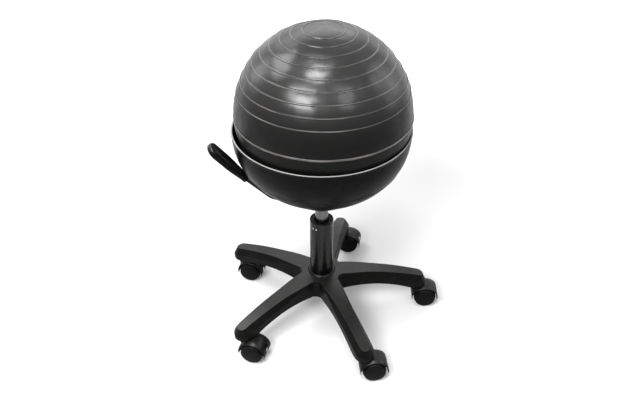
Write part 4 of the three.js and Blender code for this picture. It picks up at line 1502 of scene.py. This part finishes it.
@dataclass
class Star:
    """The moulded star base: five arms with bevelled tops, hollow underneath."""

    arms: int = 5
    first_turn: float = 5.5
    stem_circle: float = 217.9
    half_width: float = 20.6
    web: float = 14.0
    facet_half: float = 14.2
    tip_half: float = 11.0
    facet_end: float = 231.2
    bevel_depth: float = 14.4
    hub_chamfer: float = 1.0
    hub_chamfer_depth: float = 1.5
    bevel_start: float = 50.0
    bevel_full: float = 130.0
    hub_top: float = 114.5
    arc_start: float = 38.0
    arc_radius: float = 588.0
    arch_reach: float = 105.0
    arch_height: float = 78.5
    arch_spread: float = 463.0
    tip_bottom: float = 58.0
    ring: float = 36.0
    boss: float = 33.0
    boss_bottom: float = 63.0
    boss_edge: float = 0.9
    boss_sink: float = 2.0
    collar: float = 30.0
    collar_top: float = 27.4
    collar_height: float = 118.0
    collar_step: float = 0.4
    collar_edge: Point = (0.2, 0.5)
    tube: float = 25.0
    bore_heights: Point = (50.0, 130.0)
    wall: float = 3.0
    roof: float = 3.2
    rib: float = 2.6
    pocket_start: float = 47.0
    pocket_end: float = 200.0
    pockets: int = 3
    socket_depth: float = 22.0
    socket_radius: float = 5.3
    past: float = 2.0
    least: float = 0.1

    def arm_place(self, arm: int) -> Matrix:
        """Turns the first arm, drawn along X, to the place of another."""
        return Matrix.Rotation(math.radians(self.first_turn) + TURN * arm / self.arms, 4, "Z")

    def top(self, reach: float) -> float:
        """Height of the flat top at a reach from the column."""
        return self.hub_top - max(0.0, reach - self.arc_start) ** 2 / (2 * self.arc_radius)

    def bottom(self, reach: float) -> float:
        """Height of the underside at a reach from the column."""
        arch = self.arch_height - (reach - self.arch_reach) ** 2 / self.arch_spread
        return max(self.tip_bottom, arch)

    def ease(self, reach: float) -> float:
        """How much of the bevel there is at a reach, from 0 to 1."""
        return eased(held((reach - self.bevel_start) / (self.bevel_full - self.bevel_start)))

    def drop(self, reach: float) -> float:
        """How far the bevel falls at a reach."""
        more = self.bevel_depth - self.hub_chamfer_depth
        return self.hub_chamfer_depth + more * self.ease(reach)

    def facet(self, reach: float) -> float:
        """Half the width of the flat top.

        Args:
            reach: How far from the column.

        Returns:
            The distance from the arm's middle to the crease.
        """
        narrows = self.facet_end - self.tip_half - self.bevel_full
        taper = held((reach - self.bevel_full) / narrows)
        full = self.half_width - self.facet_half - (self.tip_half - self.facet_half) * taper
        return self.half_width - self.hub_chamfer - (full - self.hub_chamfer) * self.ease(reach)

    def stations(self) -> list[tuple[Vector, Vector, Vector, bool]]:
        """Half an arm's outline from its tip to the middle of the web.

        Returns:
            For each point, its edge, crease and middle, and whether it lies on the web.
        """
        facet_centre = self.facet_end - self.tip_half
        sector = math.pi / self.arms
        web_centre = (self.half_width + self.web) / math.sin(sector)
        web_reach = web_centre * math.cos(sector)
        tip = Vector((facet_centre, 0))
        found = []
        for turn in steps(0.0, QUARTER, 10):
            out = Vector((math.cos(turn), math.sin(turn)))
            edge = Vector((self.stem_circle, 0)) + out * self.half_width
            found.append((edge, tip + out * self.tip_half, tip, False))
        for reach in steps(self.stem_circle, web_reach, 26)[1:]:
            inward = min(reach, facet_centre)
            edge, crease = (reach, self.half_width), (inward, self.facet(reach))
            found.append((Vector(edge), Vector(crease), Vector((inward, 0)), False))
        centre = Vector((web_reach, web_centre * math.sin(sector)))
        for share in steps(0.0, 1.0, 8)[1:]:
            turn = -QUARTER - (QUARTER - sector) * share
            out = Vector((math.cos(turn), math.sin(turn)))
            lean = sector * share
            middle = Vector((math.cos(lean), math.sin(lean))) * self.ring
            crease = centre + out * (self.web + self.hub_chamfer)
            found.append((centre + out * self.web, crease, middle, True))
        return found

    def columns(self) -> list[list[Vector]]:
        """The whole outline's sections, each from the bottom's middle over the edge to the top.

        Returns:
            The five places of each section.
        """
        half = self.stations()

        def flipped(flat: Vector) -> Vector:
            """The mirror image across the arm's middle."""
            return Vector((flat.x, -flat.y))

        mirrored = [(*map(flipped, row[:3]), row[3]) for row in reversed(half[1:])]
        columns = []
        for arm in range(self.arms):
            turn = self.arm_place(arm)
            for edge, crease, middle, web in [*mirrored, *half[:-1]]:
                edge_reach = edge.length if web else edge.x
                crease_reach = crease.length if web else crease.x
                section = [
                    (middle, self.bottom(middle.length)), (edge, self.bottom(edge_reach)),
                    (edge, self.top(edge_reach) - self.drop(edge_reach)),
                    (crease, self.top(crease_reach)), (middle, self.top(middle.length)),
                ]
                columns.append([turn @ Vector((*flat, height)) for flat, height in section])
        return columns

    def hollows(self) -> Shape:
        """The hollows under the arms and the holes for the casters' stems.

        Returns:
            A shape to cut with.
        """
        ribs = self.rib * (self.pockets - 1)
        cell = (self.pocket_end - self.pocket_start - ribs) / self.pockets
        low, high = self.tip_bottom - self.past, self.tip_bottom + self.socket_depth
        hole = rod(self.socket_radius, low, high)
        cutter = Shape()
        for arm in range(self.arms):
            turn = self.arm_place(arm)
            for k in range(self.pockets):
                start = self.pocket_start + k * (cell + self.rib)
                for side in (1, -1):
                    rows = [self.hollow_row(reach, side) for reach in steps(start, start + cell, 6)]
                    cutter.loft(rows, turn)
            cutter.turn(hole, 24, turn @ move(self.stem_circle, 0, 0))
        return cutter

    def hollow_row(self, reach: float, side: int) -> list[Place]:
        """A hollow's section.

        Args:
            reach: How far from the column.
            side: 1 for the left of the arm, -1 for the right.

        Returns:
            Its corners.
        """
        low = self.bottom(reach) - self.past
        inner, outer = self.rib / 2, self.half_width - self.wall
        roof = self.top(reach) - self.roof
        shoulder = min(roof - self.least, self.top(reach) - self.drop(reach) - self.roof / 2)
        flat = min(outer - self.least, self.facet(reach) - self.wall / 2)
        corners = [(inner, low), (outer, low), (outer, shoulder), (flat, roof), (inner, roof)]
        return [(reach, y * side, z) for y, z in corners]

    def build(self) -> None:
        """Builds the arms and the hub, cuts the hollows and eases the edges."""
        columns = self.columns()
        under, edge, brink, crease, top = zip(*columns)

        def to_axis(row: Sequence[Vector]) -> list[Vector]:
            """The same row, with the part that lies on the hub's ring moved to the axis."""
            hub = self.ring + COARSE_WELD
            return [Vector((0, 0, point.z)) if point.xy.length < hub else point for point in row]

        shape = Shape()
        shape.loft([edge, brink, crease, top, to_axis(top)], caps=False)
        shape.loft([edge, under, to_axis(under)], caps=False)
        bmesh.ops.remove_doubles(shape.bm, verts=shape.bm.verts, dist=COARSE_WELD)
        bmesh.ops.dissolve_degenerate(shape.bm, dist=COARSE_WELD, edges=shape.bm.edges)
        bmesh.ops.recalc_face_normals(shape.bm, faces=shape.bm.faces)
        hub = Shape().turn(self.hub_line())
        LOG.info("star: %d columns, %d faces", len(columns), len(shape.bm.faces))
        cutter = self.hollows().turn(rod(self.tube + GAP, *self.bore_heights))
        shape.cut(cutter).stand_for("star_base", "moulded", "base", Look.NYLON, Edges.SOFT)
        hub.piece("hub_collar_moulded", "base", Look.NYLON)

    def hub_line(self) -> list[Point]:
        """The section of the boss under the hub and of the collar round the tube.

        Returns:
            Points of radius and height.
        """
        bore, edge, low = self.tube + GAP, self.boss_edge, self.boss_bottom
        top, height, step = self.top(0.0), self.collar_height, self.collar_step
        inwards, down = self.collar_edge
        return [
            (bore, low), (self.boss - edge, low), (self.boss, low + edge),
            (self.boss, top - self.boss_sink), (self.collar, top - self.boss_sink),
            (self.collar, top + step), (self.collar_top + step, height - down),
            (self.collar_top - inwards, height), (bore, height),
        ]


@dataclass
class Caster:
    """One twin-wheel caster, drawn along X from its stem at the origin."""

    number: int
    trail_turn: float
    first_turn: float = 5.5
    arm_pitch: float = 72.0
    stem_circle: float = 217.9
    wheel: float = 25.0
    half_width: float = 25.0
    inner_face: float = 5.3
    face: float = 22.9
    face_edge: float = 0.9
    face_line: tuple[Point, ...] = (
        (0.0, 0.0), (6.0, 0.05), (9.0, 0.2), (13.0, 0.55), (17.0, 1.05), (20.0, 1.55),
        (21.6, 1.95),
    )
    tread_line: tuple[Point, ...] = (
        (2.1, 19.1), (1.8, 17.9), (0.5, 17.1), (0.0, 16.1), (0.0, 6.7), (0.5, 5.7), (1.4, 5.3),
    )
    dome: float = 2.1
    hub_depth: float = 4.0
    trail: float = 21.1
    reach: float = 29.8
    rise: float = 30.2
    wall: float = 1.6
    crown: float = 4.2
    hood_half: float = 19.8
    hood_round: float = 0.5
    hood_slack: float = 0.1
    hang: float = 4.8
    web_half: float = 4.2
    web_inset: float = 0.4
    web_hang: float = 0.12
    hub_inset: float = 0.03
    hub_wall: float = 5.0
    axle: float = 3.0
    axle_inset: float = 4.3
    slot_half: float = 5.0
    slot_reach: float = 18.0
    slot_rise: float = 15.0
    slot_past: float = 2.0
    boss: float = 9.0
    boss_top: float = 56.3
    boss_edge: float = 0.8
    stem: float = 4.0
    stem_grip: float = 5.0
    stem_seat: float = 37.3
    stem_top: float = 79.0
    stem_chamfer: Point = (1.2, 1.5)

    def place(self) -> Matrix:
        """Where the caster stands."""
        turn = self.first_turn + self.arm_pitch * (self.number - 1)
        return move(*polar(self.stem_circle, turn), 0) @ swing(self.trail_turn)

    def build(self) -> None:
        """Builds the body, the wheels, the stem and the axle."""
        name = f"caster_{self.number}"
        self.body(name)
        centre = self.place() @ move(self.trail, 0, self.wheel)
        for side, turn in (("left", -90), ("right", 90)):
            node = f"{name}_wheel_{side}"
            wheel = Shape().turn(self.wheel_line(), 72, centre @ swing(turn, "X"))
            wheel.stand_for(node, "turned", node, Look.TREAD)
        inwards, down = self.stem_chamfer
        boss_top, grip = self.boss_top + GAP, self.stem_grip
        profile = [
            (0.0, self.stem_seat), (self.stem, self.stem_seat), (self.stem, boss_top),
            (grip, boss_top), (grip, self.stem_top - down), (grip - inwards, self.stem_top),
            (0.0, self.stem_top),
        ]
        stem = Shape().turn(profile, 32, self.place())
        stem.stand_for(f"{name}_stem", "turned", name, Look.ZINC)
        end = self.half_width - self.axle_inset
        axle = Shape().turn(rod(self.axle, -end, end), 24, centre @ swing(90, "X"))
        axle.stand_for(f"{name}_axle", "turned", name, Look.ZINC)
        LOG.info("%s: body, two wheels, stem and axle", name)

    def wheel_line(self) -> list[Point]:
        """A wheel's section, from its hub over the domed face to the tread, then back.

        Returns:
            Points of radius and of distance outwards.
        """
        wide, deep = self.half_width, self.half_width - self.hub_depth
        bore = self.axle + GAP
        rim = (self.face - self.face_edge, wide - self.dome - self.face_edge)
        return [
            *[(radius, wide - down) for radius, down in self.face_line],
            *arc(rim, self.face_edge, 75.0, 0.0, 4),
            *[(self.wheel - down, out) for down, out in self.tread_line],
            (bore, self.inner_face), (bore, deep), (0.0, deep),
        ]

    def hood_row(self, side: float) -> list[Place]:
        """A closed section of the hood's shell at a distance from the middle plane.

        Args:
            side: The distance. The outermost sections are smaller, for a rounded edge.

        Returns:
            The points, over the outside and back along the inside.
        """
        top = self.rise - self.crown * (abs(side) / self.hood_half) ** 3
        slack = self.hood_round if abs(side) == self.hood_half else self.hood_slack
        points = []
        for inwards, way in ((slack, 1), (self.wall, -1)):
            reach, rise = self.reach - inwards, top - inwards
            hang = math.asin(self.hang / rise)
            for turn in steps(*(-hang, math.pi + hang)[::way], 40):
                along = self.trail + reach * math.cos(turn)
                points.append((along, side, self.wheel + rise * math.sin(turn)))
        return points

    def body(self, name: str) -> None:
        """Builds the hood, the web between the wheels and the bosses.

        Args:
            name: The caster's name.
        """
        half, soft = self.hood_half, self.hood_round
        inner = half - 3 * soft
        sides = [-half, soft - half, *steps(-inner, inner, 14), half - soft, half]
        hood = Shape().loft([self.hood_row(side) for side in sides])
        upright = swing(90, "X")
        reach, rise = self.reach - self.web_inset, self.rise - self.web_inset
        web = [
            (self.trail + reach * math.cos(turn), self.wheel + rise * math.sin(turn))
            for turn in steps(-self.web_hang, math.pi + self.web_hang, 40)
        ]
        plate = Shape().plate(web, -self.web_half, self.web_half, upright)
        shape = hood.cut(self.slot()).take(plate.cut(self.slot()))
        seat, top, edge = self.stem_seat - GAP, self.boss_top, self.boss_edge
        boss = [
            (0.0, seat), (self.boss, seat), (self.boss, top - edge), (self.boss - edge, top),
            (0.0, top),
        ]
        shape.turn(boss, 48)
        end = self.web_half - self.hub_inset
        hub = rod(self.axle + self.hub_wall, -end, end)
        shape.turn(hub, 48, move(self.trail, 0, self.wheel) @ upright)
        bmesh.ops.transform(shape.bm, matrix=self.place(), verts=shape.bm.verts)
        shape.piece(f"{name}_hood", name, Look.NYLON, instead=[f"{name}_body"])

    def slot(self) -> Shape:
        """The notch in the hood's open end.

        Returns:
            A shape to cut with.
        """
        near, far = self.trail + self.slot_reach, self.trail + self.reach + self.slot_past
        low, high = self.wheel - self.rise, self.wheel + self.slot_rise
        return Shape().block((near, -self.slot_half, low), (far, self.slot_half, high))


# The scene round it


@dataclass(frozen=True)
class Lamp:
    """One soft lamp: its place and size in metres, and its power in watts."""

    name: str
    place: Place
    size: Point
    power: float

    def hang(self, aim: Place) -> None:
        """Hangs the lamp.

        Args:
            aim: The place that it points at, in metres.
        """
        data = bpy.data.lights.new(self.name, "AREA")
        data.shape = "RECTANGLE"
        data.size, data.size_y = self.size
        data.energy = self.power
        made = bpy.data.objects.new(self.name, data)
        made.location = self.place
        made.rotation_mode = "QUATERNION"
        way = Vector(aim) - Vector(self.place)
        made.rotation_quaternion = way.to_track_quat("-Z", "Y")
        bpy.context.scene.collection.objects.link(made)


@dataclass
class Studio:
    """Camera, floor, surround and lamps; the floor's fade to white is in metres."""

    sensor: float = 36.0
    focal: float = 713.26
    frame_width: float = 640.0
    distance: float = 1184.8
    height: float = 1184.0
    pitch: float = 36.57
    yaw: float = 0.17
    floor_reach: float = 60000.0
    floor_grey: Colour = (0.78, 0.78, 0.78)
    white_from: float = 0.6
    white_to: float = 1.35
    lift: float = 0.07
    surround: float = 0.22
    aim: Place = (0.0, 0.0, 0.5)
    lamps: tuple[Lamp, ...] = (
        Lamp("overhead", (-0.27, -0.53, 2.63), (0.7, 0.7), 35.0),
        Lamp("upper_left", (-1.39, 0.52, 2.14), (0.9, 0.7), 17.0),
        Lamp("far_left", (-1.89, 1.01, 1.3), (0.7, 0.9), 4.5),
        Lamp("front_left", (-0.85, -1.48, 1.9), (1.15, 0.55), 52.0),
        Lamp("front_right", (0.95, -1.34, 1.97), (0.8, 0.8), 10.0),
        Lamp("back", (-0.2, 1.75, 1.85), (2.2, 1.0), 10.5),
        Lamp("right", (2.02, 0.44, 1.27), (1.2, 1.5), 8.5),
    )

    def camera(self) -> None:
        """Stands the camera where the photograph was taken."""
        data = bpy.data.cameras.new("camera")
        data.sensor_width = self.sensor
        data.lens = self.sensor * self.focal / self.frame_width
        made = bpy.data.objects.new("camera", data)
        made.location = (0, -self.distance * MM, self.height * MM)
        made.rotation_euler = (math.radians(90 - self.pitch), 0, math.radians(self.yaw))
        bpy.context.scene.collection.objects.link(made)
        bpy.context.scene.camera = made

    def floor(self) -> None:
        """Lays a pale floor that shows the soft shadow near the chair and is white far from it."""
        shape = Shape()
        bmesh.ops.create_grid(shape.bm, x_segments=1, y_segments=1, size=self.floor_reach)
        made = shape.place("floor")
        board = Board("pale_floor")
        length = {"operation": "LENGTH"}
        reach = board.node("ShaderNodeVectorMath", length, {0: board.place}, output="Value")
        far = board.between(reach, (self.white_from, self.white_to))
        outside = board.between(reach, (self.white_to, 2 * self.white_to))
        grey = board.blend(outside, self.floor_grey, BLACK)
        board.set(Base_Color=grey, Roughness=1.0, Specular_IOR_Level=0.0)
        strength = board.seen() * (far * (1 - self.lift) + self.lift)
        white = {"Color": (*WHITE, 1.0), "Strength": strength}
        glow = board.node("ShaderNodeEmission", inputs=white)
        plain = Channel(board, board.shader.outputs[0])
        total = board.node("ShaderNodeAddShader", inputs={0: plain, 1: glow})
        board.feed(board.tree.nodes["Material Output"].inputs["Surface"], total)
        made.data.materials.append(board.material)

    def world(self) -> None:
        """Sets an even grey surround that is white to the camera and in what shines."""
        made = bpy.data.worlds.new("studio")
        bpy.context.scene.world = made
        made.use_nodes = True
        tree = Tree(made.node_tree)
        grey = made.node_tree.nodes["Background"]
        white = (*WHITE, 1.0)
        tree.feed(grey.inputs["Color"], white)
        tree.feed(grey.inputs["Strength"], self.surround)
        bright = tree.node("ShaderNodeBackground", None, {"Color": white, "Strength": 1.0})
        sides = {0: tree.seen(), 1: Channel(tree, grey.outputs[0]), 2: bright}
        mixed = tree.node("ShaderNodeMixShader", inputs=sides)
        tree.feed(made.node_tree.nodes["World Output"].inputs["Surface"], mixed)

    def build(self) -> None:
        """Sets everything up."""
        bpy.context.scene.view_settings.view_transform = "Standard"
        self.camera()
        self.floor()
        self.world()
        for lamp in self.lamps:
            lamp.hang(self.aim)
        LOG.info("studio: camera, floor and %d lamps", len(self.lamps))


def main() -> None:
    """Builds the chair and its studio."""
    logging.basicConfig(level=logging.INFO, format="%(message)s")
    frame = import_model()
    Studio().build()
    Ball().build()
    Bowl().build()
    Mechanism().build(frame)
    Lever().build()
    GasLift().build(frame)
    Star().build()
    for k, trail_turn in enumerate((-1.3, -9.0, -14.7, -16.6, 6.2)):
        Caster(k + 1, trail_turn).build()


if __name__ == "__main__":
    main()
